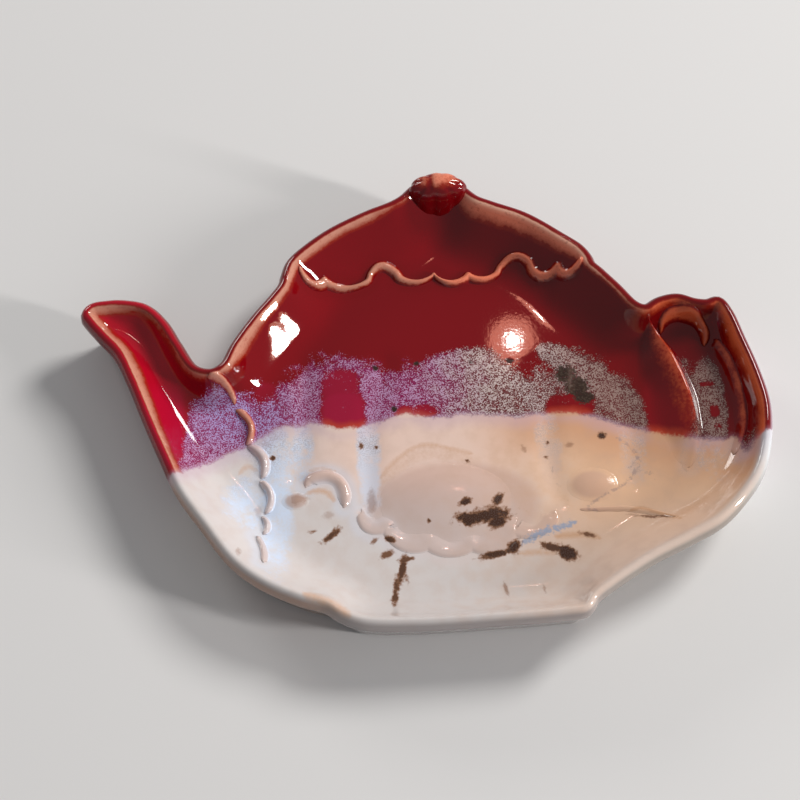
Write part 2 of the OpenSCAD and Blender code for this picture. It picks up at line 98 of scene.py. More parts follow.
# Spout scallops: both ends and the bow towards the belly
SPOUT_SHARES = [
    (-0.317, 0.048, -0.284, 0.018, 0.013), (-0.280, 0.003, -0.266, -0.071, 0.018),
    (-0.264, -0.078, -0.245, -0.148, 0.018), (-0.247, -0.159, -0.241, -0.228, 0.016),
    (-0.246, -0.238, -0.244, -0.276, 0.009), (-0.253, -0.286, -0.243, -0.352, 0.006),
]
# Ridges: place, then the share of the full width and of the full height
EDGE_SHARES = [
    (0.354, 0.143, 0.30, 0.30), (0.360, 0.130, 0.50, 0.62), (0.368, 0.106, 0.75, 0.90),
    (0.377, 0.076, 0.95, 1.00), (0.385, 0.042, 1.00, 0.94), (0.392, 0.008, 1.00, 0.86),
    (0.397, -0.027, 1.00, 0.76), (0.400, -0.061, 1.00, 0.66), (0.401, -0.091, 0.95, 0.54),
    (0.399, -0.122, 0.75, 0.28), (0.394, -0.150, 0.55, 0.12), (0.387, -0.178, 0.40, 0.04),
]
LOOP_SHARES = [
    (0.371, 0.131, 0.7, 0.7), (0.374, 0.146, 0.9, 0.9), (0.383, 0.155, 1, 1), (0.396, 0.158, 1, 1),
    (0.410, 0.154, 1, 1), (0.423, 0.146, 1, 1), (0.432, 0.133, 1, 1), (0.437, 0.115, 1, 1),
    (0.435, 0.096, 0.8, 0.8),
]
RIB_SHARES = [
    (0.452, 0.100, 0.8, 0.8), (0.459, 0.073, 1, 1), (0.466, 0.043, 1, 1), (0.471, 0.011, 1, 1),
    (0.474, -0.020, 1, 1), (0.475, -0.050, 1, 1), (0.474, -0.080, 1, 1), (0.471, -0.111, 0.9, 0.9),
    (0.464, -0.138, 0.8, 0.8), (0.453, -0.165, 0.6, 0.6),
]
LEFT_BUD_SHARES = [
    (-0.182, -0.171, 0.6, 0.6), (-0.176, -0.157, 0.9, 0.9), (-0.162, -0.150, 1, 1),
    (-0.146, -0.151, 1, 1), (-0.132, -0.162, 1, 1), (-0.124, -0.182, 1, 1), (-0.122, -0.204, 0.9, 0.9),
    (-0.125, -0.222, 0.6, 0.6),
]
STEM_SHARES = [
    (0.220, -0.256, 0.6, 0.6), (0.255, -0.258, 0.8, 0.8), (0.291, -0.260, 1, 1),
    (0.325, -0.272, 1, 1), (0.355, -0.292, 0.7, 0.7),
]
KNOB_SHARES = (0.044, 0.477)
FLOWER_SHARES = (0.024, -0.223)
LEAF_SHARES = (-0.197, -0.205)
RIGHT_BUD_SHARES = (0.242, -0.202)

# Shallow valleys between the lobes of the belly, from top to bottom, in which the glaze pools
VALLEY_SHARES = [
    [(-0.176, 0.10), (-0.180, -0.03), (-0.193, -0.15)],
    [(-0.054, 0.10), (-0.078, -0.03), (-0.086, -0.12), (-0.090, -0.22)],
    [(0.195, 0.06), (0.188, -0.03), (0.183, -0.14), (0.190, -0.22)],
    [(0.300, 0.00), (0.312, -0.10), (0.298, -0.19)],
]
# Powers that round the bow of a scallop and the inner slope
BOW_POWER = 0.7
SLOPE_POWER = 0.7
# Steps along the ridges and along given lines, in mm
RIDGE_STEP = 0.3
LINE_STEP = 0.6
STROKE_STEP = 0.4
# How far from a ridge's line its foot lies, and how far the glaze spreads that gathers there
RIDGE_FOOT = 1.3
POOL_REACH = 0.9
# Sheets of clay: the height at which they end, how deep their undersides lie, steps of their grids
SHEET_EDGE = -0.16
SHEET_DEPTH = 0.45
RIDGE_GRID = 0.17
DOME_GRID = 0.22
# Unevenness of pressed clay: its share, the size of its lumps in mm, and its seed
PATH_WIDTH_LUMPS = (0.28, 2.4, 4)
PATH_HEIGHT_LUMPS = (0.20, 2.0, 9)
RIDGE_WIDTH_LUMPS = (0.10, 1.6, 11)
RIDGE_HEIGHT_LUMPS = (0.10, 2.1, 18)
DOME_LUMPS = (0.03, 3.0, 3)
# Waves that are summed for it, and the sum that counts as 1
WAVES, WAVE_SUM = 7, 4
# A ridge's end: its length in widths of the narrower side, and the share of the size at its tip
END_WIDTHS = 1.6
END_SIZE_SHARE = 0.45
# Fall of the sheet beyond a ridge's foot and a cushion's, for each half width
RIDGE_FALL = 0.8
DOME_FALL = 0.4
# Reach of the grid round a ridge and a cushion, in their half widths
RIDGE_MARGIN = 1.4
DOME_MARGIN = 1.2
# Share of a scallop's nominal width that shows above the glaze round its foot, and the power that
# rounds a plain ridge
BEAD_SHARE = 0.84
PLAIN_POWER = 1.3

# Ridges: widths left and right of their line and height, in mm, then the power that rounds them
RIDGES = {
    "belly_edge": (1.8, 6.6, 2.8, 2.4),
    "handle_loop": (0.9, 0.9, 1.0, PLAIN_POWER),
    "handle_rib": (0.6, 1.4, 0.5, PLAIN_POWER),
    "petal_skirt": (2.6, 0.8, 0.22, 1.5),
    "left_bud": (1.0, 1.8, 0.5, 1.6),
    "right_stem": (0.6, 0.6, 0.16, 1.6),
}
# Cushions of clay: place, width, depth and height in mm, then the powers of their flank and foot
DOMES = {
    "flower_dome": (FLOWER_SHARES, 22.6, 14.6, 0.7, 2.4, 1.7),
    "left_leaf": (LEAF_SHARES, 4.8, 3.4, 0.35, 2.0, 1.6),
    "right_bud": (RIGHT_BUD_SHARES, 9.0, 6.4, 0.45, 2.2, 1.8),
}


class RestSizes(bpy.types.PropertyGroup):
    """Sizes of the dish and of the clay laid onto it."""

    width: FloatProperty(
        name="Width", description="Over the spout tip and the handle",
        default=DISH_TOP.x - DISH_LOW.x, unit="LENGTH")
    depth: FloatProperty(
        name="Depth", description="Over the foot and the lid",
        default=DISH_TOP.y - DISH_LOW.y, unit="LENGTH")
    height: FloatProperty(
        name="Height", description="Rim above the table", default=DISH_TOP.z, unit="LENGTH")
    floor_height: FloatProperty(
        name="Floor", description="Middle of the basin above the table",
        default=4.4 * MM, unit="LENGTH")
    slope_run: FloatProperty(
        name="Slope run", description="Run of the inner slope at the belly",
        default=10 * MM, unit="LENGTH")
    rim_out: FloatProperty(
        name="Rim swell", description="How far the rim swells past its crest",
        default=1.5 * MM, unit="LENGTH")
    rim_drop: FloatProperty(
        name="Rim drop", description="From the crest to the widest line of the rim",
        default=2.4 * MM, unit="LENGTH")
    foot_in: FloatProperty(
        name="Foot set-in", description="How far the wall draws in at the table",
        default=0.8 * MM, unit="LENGTH")
    foot_round: FloatProperty(
        name="Foot round", description="Round where the wall meets the table",
        default=0.6 * MM, unit="LENGTH")
    recess: FloatProperty(
        name="Recess", description="Hollow inside the foot ring", default=1.1 * MM, unit="LENGTH")
    bead_width: FloatProperty(
        name="Bead width", description="Width of the lid and spout scallops",
        default=2.0 * MM, unit="LENGTH")
    bead_height: FloatProperty(
        name="Bead height", description="Height of the lid and spout scallops",
        default=0.85 * MM, unit="LENGTH")
    valley_depth: FloatProperty(
        name="Valleys", description="Depth of the valleys between the lobes of the belly",
        default=0.35 * MM, unit="LENGTH")


class RestColours(bpy.types.PropertyGroup):
    """Colours of the glazes and of the bare clay."""

    crimson: FloatVectorProperty(
        name="Crimson", description="Copper red where it is thick and bright",
        default=(0.195, 0.0010, 0.0040), subtype="COLOR")
    deep_crimson: FloatVectorProperty(
        name="Deep crimson", description="Copper red where it is thickest",
        default=(0.155, 0.0004, 0.0012), subtype="COLOR")
    ember: FloatVectorProperty(
        name="Ember", description="Copper red running thin",
        default=(0.300, 0.020, 0.006), subtype="COLOR")
    russet: FloatVectorProperty(
        name="Russet", description="Breaks in the glaze towards the handle",
        default=(0.540, 0.092, 0.034), subtype="COLOR")
    tan: FloatVectorProperty(
        name="Tan", description="Clay showing through where the glaze breaks",
        default=(0.560, 0.230, 0.155), subtype="COLOR")
    cream: FloatVectorProperty(
        name="Cream", description="Clear lower glaze", default=(0.640, 0.590, 0.570), subtype="COLOR")
    blush: FloatVectorProperty(
        name="Blush", description="Pink cast in the middle of the basin",
        default=(0.790, 0.570, 0.475), subtype="COLOR")
    honey: FloatVectorProperty(
        name="Honey", description="Warm cast towards the handle",
        default=(0.740, 0.460, 0.290), subtype="COLOR")
    lilac: FloatVectorProperty(
        name="Lilac", description="Crystals floating on the red",
        default=(0.540, 0.360, 0.570), subtype="COLOR")
    milk: FloatVectorProperty(
        name="Milk", description="Blue-white pools", default=(0.610, 0.690, 0.830), subtype="COLOR")
    iron: FloatVectorProperty(
        name="Iron", description="Iron stains", default=(0.055, 0.022, 0.012), subtype="COLOR")
    amber: FloatVectorProperty(
        name="Amber", description="Lower glaze running thin over the ridges",
        default=(0.600, 0.350, 0.210), subtype="COLOR")
    moss: FloatVectorProperty(
        name="Moss", description="Dark specks in the red", default=(0.030, 0.015, 0.010), subtype="COLOR")
    azure: FloatVectorProperty(
        name="Azure", description="Blue streak beside the flower",
        default=(0.290, 0.350, 0.470), subtype="COLOR")
    clay: FloatVectorProperty(
        name="Clay", description="Bare stoneware of the foot",
        default=(0.50, 0.38, 0.27), subtype="COLOR")


# Lines and distances are in millimetres, seen from above.

def flat_length(v):
    """Length of vectors seen from above."""
    return np.hypot(v[..., 0], v[..., 1])


def curve_at(a, b, c, d, u):
    """Point at share u of the smooth curve through four knots, between the middle two."""
    t1 = math.sqrt(flat_length(b - a))
    t2 = t1 + math.sqrt(flat_length(c - b))
    t3 = t2 + math.sqrt(flat_length(d - c))
    t = t1 + (t2 - t1) * u
    ab = a + (b - a) * t / t1
    bc = b + (c - b) * (t - t1) / (t2 - t1)
    cd = c + (d - c) * (t - t2) / (t3 - t2)
    abc = ab + (bc - ab) * t / t2
    bcd = bc + (cd - bc) * (t - t1) / (t3 - t1)
    return abc + (bcd - abc) * (t - t1) / (t2 - t1)


def closed_curve(knots, step):
    """Smooth closed curve through all knots."""
    n = len(knots)
    out = []
    for i in range(n):
        a, b, c, d = knots[i - 1], knots[i], knots[(i + 1) % n], knots[(i + 2) % n]
        m = max(1, round(float(flat_length(c - b)) / step))
        out += [curve_at(a, b, c, d, j / m) for j in range(m)]
    return np.array(out)


def open_curve(knots, step):
    """Smooth open curve through all knots."""
    ends = [2 * knots[0] - knots[1], *knots, 2 * knots[-1] - knots[-2]]
    out = []
    for i in range(1, len(knots)):
        a, b, c, d = ends[i - 1], ends[i], ends[i + 1], ends[i + 2]
        m = max(1, round(float(flat_length(c - b)) / step))
        out += [curve_at(a, b, c, d, j / m) for j in range(m)]
    out.append(knots[-1])
    return np.array(out)


def rightward(v):
    """Unit vectors to the right of the vectors v."""
    side = np.stack([v[..., 1], -v[..., 0]], -1)
    return side / np.linalg.norm(side, axis=-1)[..., None]


def ring_mean(rows, reach):
    """Rows of a closed ring, steadied over their neighbours."""
    return sum(np.roll(rows, k, 0) for k in range(-reach, reach + 1)) / (2 * reach + 1)


def smooth_share(v, low, high):
    """Share from 0 to 1 that eases in as v goes from low to high."""
    u = np.clip((v - low) / (high - low), 0, 1)
    return u * u * (3 - 2 * u)


# Points that are measured at one time
BATCH = 2000


def line_distance(points, line, closed=False):
    """Distance to a line, the place along it in steps, and the side, positive to the right."""
    a = line
    b = np.roll(line, -1, 0) if closed else line[1:]
    a = a if closed else a[:-1]
    ab = b - a
    ab2 = (ab * ab).sum(1)
    gap = np.empty(len(points))
    along = np.empty(len(points))
    side = np.empty(len(points))
    for k in range(0, len(points), BATCH):
        p = points[k:k + BATCH, None, :] - a[None]
        u = np.clip((p * ab).sum(2) / ab2, 0, 1)
        off = p - ab * u[..., None]
        d2 = (off * off).sum(2)
        i = d2.argmin(1)
        row = np.arange(len(i))
        gap[k:k + BATCH] = np.sqrt(d2[row, i])
        along[k:k + BATCH] = i + u[row, i]
        cross = p[row, i, 0] * ab[i, 1] - p[row, i, 1] * ab[i, 0]
        side[k:k + BATCH] = np.sign(cross)
    return gap, along, side


def inside(points, ring):
    """True where the ring winds round the point."""
    a, b = ring, np.roll(ring, -1, 0)
    turns = np.zeros(len(points), int)
    for k in range(0, len(points), BATCH):
        p = points[k:k + BATCH]
        y = p[:, 1:2]
        up = (a[:, 1] <= y) & (b[:, 1] > y)
        down = (a[:, 1] > y) & (b[:, 1] <= y)
        left = (b[:, 0] - a[:, 0]) * (y - a[:, 1]) - (p[:, 0:1] - a[:, 0]) * (b[:, 1] - a[:, 1])
        turns[k:k + BATCH] = (up & (left > 0)).sum(1) - (down & (left < 0)).sum(1)
    return turns > 0


class ClayForm:
    """The dish's upper face as a height over the table, and the lines that shape it."""

    # Steps in mm, and counts of points over which a line is steadied
    CREST_STEP = 0.5
    VALLEY_STEP = 1.0
    AIM = 18
    EASE = 9
    # Grid of the height map, its margin, and how far the slopes run into the floor, in mm
    CELL = 0.5
    EDGE = 4.0
    SOFTEN = 1.6
    SOFTEN_CELLS = 8
    # Distances inside the crest over which the plain height gives way to the softened one
    PLAIN_REACH = 3.6
    PLAIN_BAND = (0.8, 3.2)
    # Half width of a valley, and the distances inside the crest over which it sets in
    VALLEY_HALF = 2.2
    VALLEY_BAND = (4, 9)
    TINY = 1e-6

    def __init__(self, sizes):
        self.top = sizes.height / MM
        self.floor_low = sizes.floor_height / MM
        self.rim_out = sizes.rim_out / MM
        self.rim_drop = sizes.rim_drop / MM
        self.wide = sizes.width / MM - 2 * self.rim_out
        self.deep = sizes.depth / MM - 2 * self.rim_out
        self.valley_depth = sizes.valley_depth / MM
        run = sizes.slope_run / MM
        knots = [np.array([r[0] * self.wide, r[1] * self.deep, r[2] * run]) for r in RIM_SHARES]
        raw = closed_curve(knots, self.CREST_STEP)
        self.mid = (raw[:, :2].max(0) + raw[:, :2].min(0)) / 2
        self.crest = raw[:, :2] - self.mid
        self.run = raw[:, 2]
        self.outward = rightward(np.roll(self.crest, -1, 0) - np.roll(self.crest, 1, 0))
        aim = ring_mean(self.outward, self.AIM)
        self.inward = -aim / np.linalg.norm(aim, axis=1)[:, None]
        self.slope_foot = ring_mean(self.inner_line(1.0), self.EASE)
        self.valleys = [
            open_curve([self.place(q) for q in path], self.VALLEY_STEP) for path in VALLEY_SHARES]
        self.paths = []
        self.make_map()

    def inner_line(self, share):
        """Line at a share of the inner slope's run."""
        return self.crest + self.inward * (self.run * share)[:, None]

    def place(self, shares):
        """Place on the dish from shares of its crest's width and depth."""
        return np.array([shares[0] * self.wide, shares[1] * self.deep]) - self.mid

    def floor(self, x):
        """Height of the floor at places along the dish."""
        table = np.array(RISE_SHARES)
        rise = np.interp((x + self.mid[0]) / self.wide, table[:, 0], table[:, 1])
        return self.floor_low + (self.top - self.floor_low) * rise

    def plain_height(self, p):
        """Height and crest distance before the slopes are softened into each other."""
        gap = line_distance(p, self.crest, True)[0]
        foot_gap = line_distance(p, self.slope_foot, True)[0]
        s = np.where(inside(p, self.slope_foot), 1.0, gap / np.maximum(gap + foot_gap, self.TINY))
        left = 0.5 + 0.5 * np.cos(math.pi * s ** SLOPE_POWER)
        z = self.floor(p[:, 0]) * (1 - left) + self.top * left
        out = ~inside(p, self.crest)
        past = np.clip(gap / self.rim_out, 0, 1)
        z = np.where(out, self.top - self.rim_drop * (1 - np.sqrt(1 - past ** 2)), z)
        return z, np.where(out, -gap, gap)

    def make_map(self):
        """Softened heights on a grid, so that the slopes meet the floor as pressed clay does."""
        reach = np.array([self.wide, self.deep]) / 2 + self.EDGE
        self.xs = np.arange(-reach[0], reach[0], self.CELL)
        self.ys = np.arange(-reach[1], reach[1], self.CELL)
        gx, gy = np.meshgrid(self.xs, self.ys)
        points = np.stack([gx.ravel(), gy.ravel()], 1)
        z, gap = self.plain_height(points)
        within = (gap > 0).astype(float).reshape(gx.shape)
        z = z.reshape(gx.shape)
        self.gap_map = gap.reshape(gx.shape)
        k = np.arange(-self.SOFTEN_CELLS, self.SOFTEN_CELLS + 1) * self.CELL
        w = np.exp(-(k / self.SOFTEN) ** 2)
        self.soft_map = self.blur(z * within, w) / np.maximum(self.blur(within, w), self.TINY)

    @staticmethod
    def blur(field, w):
        """Mean of a map over the weights w, along both of its directions."""
        half = len(w) // 2
        for axis in (0, 1):
            field = sum(wi * np.roll(field, i - half, axis) for i, wi in enumerate(w)) / w.sum()
        return field

    def look_up(self, field, p):
        """Smooth cubic reading of a map at points."""
        fx = (p[:, 0] - self.xs[0]) / self.CELL
        fy = (p[:, 1] - self.ys[0]) / self.CELL
        ix = np.clip(np.floor(fx).astype(int), 1, len(self.xs) - 3)
        iy = np.clip(np.floor(fy).astype(int), 1, len(self.ys) - 3)
        tx, ty = fx - ix, fy - iy

        def taps(t):
            return [
                ((2 - t) * t - 1) * t / 2, (t * t * (3 * t - 5) + 2) / 2,
                ((4 - 3 * t) * t + 1) * t / 2, (t - 1) * t * t / 2]

        wx, wy = taps(tx), taps(ty)
        out = 0
        for j in range(4):
            for i in range(4):
                out = out + wy[j] * wx[i] * field[iy + j - 1, ix + i - 1]
        return out

    def valley(self, p):
        """Share of a valley's depth at points."""
        out = np.zeros(len(p))
        for path in self.valleys:
            gap = line_distance(p, path)[0]
            out = np.maximum(out, np.exp(-(gap / self.VALLEY_HALF) ** 2))
        return out

    def height(self, p):
        """Height of the upper face, and the distance inside the crest."""
        gap = self.look_up(self.gap_map, p)
        z = self.look_up(self.soft_map, p)
        near = gap < self.PLAIN_REACH
        if near.any():
            plain, exact = self.plain_height(p[near])
            w = smooth_share(exact, *self.PLAIN_BAND)
            z[near] = plain * (1 - w) + z[near] * w
            gap[near] = exact
        dip = self.valley(p) * smooth_share(gap, *self.VALLEY_BAND)
        return z - self.valley_depth * dip, gap

    def pooling(self, p):
        """Share of glaze gathered at the foot of the ridges, along all their paths."""
        out = np.zeros(len(p))
        for path in self.paths:
            gap = line_distance(p, path)[0]
            out = np.maximum(out, np.exp(-((gap - RIDGE_FOOT) / POOL_REACH) ** 2))
        return out


FORMS = {}


def clay_form():
    """The clay form for the present sizes, made once."""
    sizes = bpy.context.scene.rest_sizes
    key = (sizes.width, sizes.depth, sizes.height, sizes.slope_run)
    if key not in FORMS:
        form = ClayForm(sizes)
        FORMS[key] = form
        beads = [scallops(form, LID_SHARES), scallops(form, PETAL_SHARES)]
        beads += spout_paths(form)
        for rows in (EDGE_SHARES, LOOP_SHARES, RIB_SHARES, LEFT_BUD_SHARES):
            beads.append(sized_path(form, rows))
        form.paths = [path[:, :2] for path in beads]
    return FORMS[key]


def bow(form, a, b, sag):
    """A bowed stretch between two places."""
    m = max(4, round(float(np.linalg.norm(b - a)) / RIDGE_STEP))
    side = rightward(b - a)
    rows = []
    for k in range(m + 1):
        u = k / m
        rows.append(a + (b - a) * u - side * sag * form.deep * math.sin(math.pi * u) ** BOW_POWER)
    return np.array(rows)


def with_size(path):
    """A path with the share of the full width and height along it, slightly uneven."""
    return np.column_stack([
        path, 1 + lumps(path, PATH_WIDTH_LUMPS), 1 - np.abs(lumps(path, PATH_HEIGHT_LUMPS))])


def scallops(form, table):
    """Path of a scalloped ridge through the rows of a table."""
    rows = []
    for a, b in zip(table[:-1], table[1:]):
        rows.append(bow(form, form.place(a), form.place(b), a[2])[:-1])
    rows.append(form.place(table[-1])[None])
    return with_size(np.concatenate(rows))


def spout_paths(form):
    """Paths of the scallops down the spout."""
    return [with_size(bow(form, form.place(r[:2]), form.place(r[2:4]), r[4])) for r in SPOUT_SHARES]


def sized_path(form, table):
    """Path of a ridge whose rows give its shares of width and height."""
    return open_curve([np.array([*form.place(r), r[2], r[3]]) for r in table], RIDGE_STEP)


def clean_noise(p, scale, seed):
    """Soft, repeatable unevenness at points seen from above, mostly between -1 and 1."""
    rng = np.random.default_rng(seed)
    out = np.zeros(len(p))
    for _ in range(WAVES):
        a = rng.uniform(0, 2 * math.pi)
        k = rng.uniform(0.6, 1.5) / scale
        out += np.sin((p[:, 0] * math.cos(a) + p[:, 1] * math.sin(a)) * k + rng.uniform(0, 7))
    return out / WAVE_SUM


def lumps(p, kind, seed=0):
    """Unevenness of one kind at points, with a seed added to its own."""
    share, scale, own_seed = kind
    return share * clean_noise(p, scale, own_seed + seed)


def make_piece(name, points, faces, marks, material, node):
    """A smooth mesh piece from points in millimetres, riding on the dish's body."""
    mesh = bpy.data.meshes.new(name)
    mesh.from_pydata((np.asarray(points) * MM).tolist(), [], [list(map(int, f)) for f in faces])
    for key, values in marks.items():
        layer = mesh.attributes.new(key, "FLOAT", "POINT")
        layer.data.foreach_set("value", np.asarray(values, np.float32))
    mesh.polygons.foreach_set("use_smooth", [True] * len(mesh.polygons))
    mesh.materials.append(material)
    mesh.update()
    mesh.validate()
    piece = bpy.data.objects.new(name, mesh)
    bpy.context.scene.collection.objects.link(piece)
    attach(piece, BODY)
    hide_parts(node)


def relief_mesh(form, lift_of, low, high, step):
    """A closed sheet of clay over the dish, wherever lift_of gives a height above its edge."""
    xs = np.arange(low[0], high[0] + step, step)
    ys = np.arange(low[1], high[1] + step, step)
    gx, gy = np.meshgrid(xs, ys)
    p = np.stack([gx.ravel(), gy.ravel()], 1)
    lift, share = lift_of(p)
    keep = (lift > SHEET_EDGE).reshape(gx.shape)
    cell = keep[:-1, :-1] & keep[1:, :-1] & keep[1:, 1:] & keep[:-1, 1:]
    number = -np.ones(gx.shape, int)
    used = np.zeros(gx.shape, bool)
    for rows, columns in ((0, 0), (1, 0), (1, 1), (0, 1)):
        used[rows:rows + len(cell), columns:columns + cell.shape[1]] |= cell
    number[used] = np.arange(used.sum())
    q = p[used.ravel()]
    z, gap = form.height(q)
    n = len(q)
    top = np.column_stack([q, z + lift[used.ravel()]])
    bottom = np.column_stack([q, z - SHEET_DEPTH])
    j, i = np.nonzero(cell)
    a, b, c, d = number[j, i], number[j, i + 1], number[j + 1, i + 1], number[j + 1, i]
    quads = np.stack([a, b, c, d], 1)
    edges = np.concatenate([quads[:, [0, 1]], quads[:, [1, 2]], quads[:, [2, 3]], quads[:, [3, 0]]])
    have = set(map(tuple, edges))
    rim = [e for e in have if (e[1], e[0]) not in have]
    faces = quads.tolist() + (quads[:, ::-1] + n).tolist()
    faces += [(e[1], e[0], e[0] + n, e[1] + n) for e in rim]
    share = share[used.ravel()]
    marks = {
        "lift": np.concatenate([share, share * 0]), "wall": np.zeros(2 * n),
        "pool": np.concatenate([form.pooling(q) * (1 - share), np.zeros(n)])}
    for key, values in glaze_marks(form, q, gap).items():
        marks[key] = np.concatenate([values, values])
    return np.concatenate([top, bottom]), faces, marks


def merge_meshes(parts):
    """Points, faces and marks of several meshes as one."""
    points, faces, marks, first = [], [], {}, 0
    for p, f, m in parts:
        points.append(p)
        faces += [[v + first for v in face] for face in f]
        for key, values in m.items():
            marks.setdefault(key, []).append(values)
        first += len(p)
    return np.concatenate(points), faces, {k: np.concatenate(v) for k, v in marks.items()}


def bead_lift(path, section, seed):
    """Lift of a rounded ridge of clay along a path, feathered into the dish at its foot."""
    left, right, high, power = section
    steps = np.arange(len(path))
    ramp = END_WIDTHS * min(left, right) / RIDGE_STEP

    def lift_of(p):
        gap, along, side = line_distance(p, path[:, :2])
        wide, tall = (np.interp(along, steps, path[:, k]) for k in (2, 3))
        end = np.clip(np.minimum(along, steps[-1] - along) / ramp, 0, 1)
        size = END_SIZE_SHARE + (1 - END_SIZE_SHARE) * np.sqrt(1 - (1 - end) ** 2)
        half = np.where(side > 0, right, left) * wide * size * (1 + lumps(p, RIDGE_WIDTH_LUMPS, seed))
        r = gap / half
        body = np.clip(1 - r * r, 0, 1) ** power
        lift = high * tall * size * body * (1 + lumps(p, RIDGE_HEIGHT_LUMPS, seed))
        return np.where(r < 1, lift, -(r - 1) * RIDGE_FALL), body * np.sqrt(tall)

    return lift_of


def bead_piece(form, name, paths, section, material):
    """A piece of one ridge or of several like ones."""
    reach = max(section[:2]) * RIDGE_MARGIN
    parts = []
    for k, path in enumerate(paths):
        low, top = path[:, :2].min(0) - reach, path[:, :2].max(0) + reach
        parts.append(relief_mesh(form, bead_lift(path, section, k), low, top, RIDGE_GRID))
    points, faces, marks = merge_meshes(parts)
    make_piece(name + "_glazed", points, faces, marks, material, name)


def dome_lift(centre, wide, deep, high, power, fall):
    """Lift of an oval cushion of clay."""

    def lift_of(p):
        v = p - centre
        r = np.hypot(v[:, 0] / (wide / 2), v[:, 1] / (deep / 2)) * (1 + lumps(p, DOME_LUMPS))
        body = np.clip(1 - r ** power, 0, 1) ** fall
        return np.where(r < 1, high * body, -(r - 1) * DOME_FALL * wide / 2), body

    return lift_of


class Wires:
    """Shorthand for laying nodes into one tree."""

    # half height of an oval, so large that height takes no part in its distance
    FAR = 1e6

    def __init__(self, tree):
        self.tree = tree

    def node(self, kind, **values):
        """A new node with its properties set."""
        made = self.tree.nodes.new(kind)
        for key, value in values.items():
            setattr(made, key, value)
        return made

    def put(self, socket, value):
        """Link or set a socket. A colour may leave out its alpha, a list may be one number."""
        if isinstance(value, bpy.types.NodeSocket):
            self.tree.links.new(value, socket)
        elif hasattr(socket.default_value, "__len__") and not hasattr(value, "__len__"):
            socket.default_value = [value] * len(socket.default_value)
        elif hasattr(value, "__len__") and len(value) == 3 and len(socket.default_value) == 4:
            socket.default_value = [*value, 1]
        else:
            socket.default_value = value

    def fill(self, made, names, values):
        """Link or set several inputs of a node."""
        for name, value in zip(names, values):
            self.put(made.inputs[name], value)

    def math(self, kind, a, b, c=0.0):
        made = self.node("ShaderNodeMath", operation=kind)
        self.fill(made, (0, 1, 2), (a, b, c))
        return made.outputs[0]

    def minus(self, a, b):
        return self.math("SUBTRACT", a, b)

    def times(self, a, b):
        return self.math("MULTIPLY", a, b)

    def most(self, a, b):
        return self.math("MAXIMUM", a, b)

    def plus(self, value, share, field):
        """A field with a share of a value on top."""
        return self.math("MULTIPLY_ADD", value, share, field)

    def spread(self, shape, *values):
        """A value carried from one range over to another, and held at its ends."""
        made = self.node("ShaderNodeMapRange", interpolation_type=shape)
        self.fill(made, ("Value", "From Min", "From Max", "To Min", "To Max"), values)
        return made.outputs["Result"]

    def step(self, value, low, high, out_low=0.0, out_high=1.0):
        """Share that eases from out_low to out_high as the value goes from low to high."""
        return self.spread("SMOOTHSTEP", value, low, high, out_low, out_high)

    def ramp(self, value, low, high, out_low=0.0, out_high=1.0):
        """Share that goes straight from out_low to out_high as the value goes from low to high."""
        return self.spread("LINEAR", value, low, high, out_low, out_high)

    def noise(self, vector, scale, detail, rough=0.5):
        made = self.node("ShaderNodeTexNoise")
        self.fill(made, ("Vector", "Scale", "Detail", "Roughness"), (vector, scale, detail, rough))
        return made.outputs[0]

    def mix(self, share, a, b):
        """Colour between a and b, all b where the share is 1."""
        made = self.node("ShaderNodeMix", data_type="RGBA")
        self.fill(made, ("Factor", 6, 7), (share, a, b))
        return made.outputs[2]

    def split(self, vector):
        made = self.node("ShaderNodeSeparateXYZ")
        self.put(made.inputs[0], vector)
        return made.outputs

    def oval(self, vector, centre, size):
        """Distance from a centre seen from above, in half widths and half depths of an oval."""
        made = self.node("ShaderNodeMapping", vector_type="TEXTURE")
        self.fill(made, ("Vector", "Location", "Scale"), (vector, (*centre, 0), (*size, self.FAR)))
        length = self.node("ShaderNodeVectorMath", operation="LENGTH")
        self.put(length.inputs[0], made.outputs[0])
        return length.outputs["Value"]


def new_group(name, inputs, outputs):
    """A shader node group with named sockets, and its in and out nodes."""
    tree = bpy.data.node_groups.new(name, "ShaderNodeTree")
    for label, kind, value in inputs:
        socket = tree.interface.new_socket(label, in_out="INPUT", socket_type=kind)
        if value is not None:
            socket.default_value = value
    for label, kind in outputs:
        tree.interface.new_socket(label, in_out="OUTPUT", socket_type=kind)
    w = Wires(tree)
    return w, w.node("NodeGroupInput").outputs, w.node("NodeGroupOutput").inputs


NUMBER, VECTOR, COLOUR = "NodeSocketFloat", "NodeSocketVector", "NodeSocketColor"
# Inputs of the glaze that come from the clay, and the mesh attributes that hold them
MARKS = [
    ("Lift", "lift"), ("Thin", "thin"), ("Wall", "wall"), ("Pool", "pool"), ("Bare Clay", "bare"),
    ("Dip", "dip"), ("Haze", "haze"), ("Window", "window"), ("Milk", "milk"), ("Stain", "stain"),
    ("Stain Depth", "stain_depth"), ("Amber", "amber"), ("Azure", "azure"), ("Vein", "vein"),
    ("Moss", "moss"), ("Crest", "crest"),
]

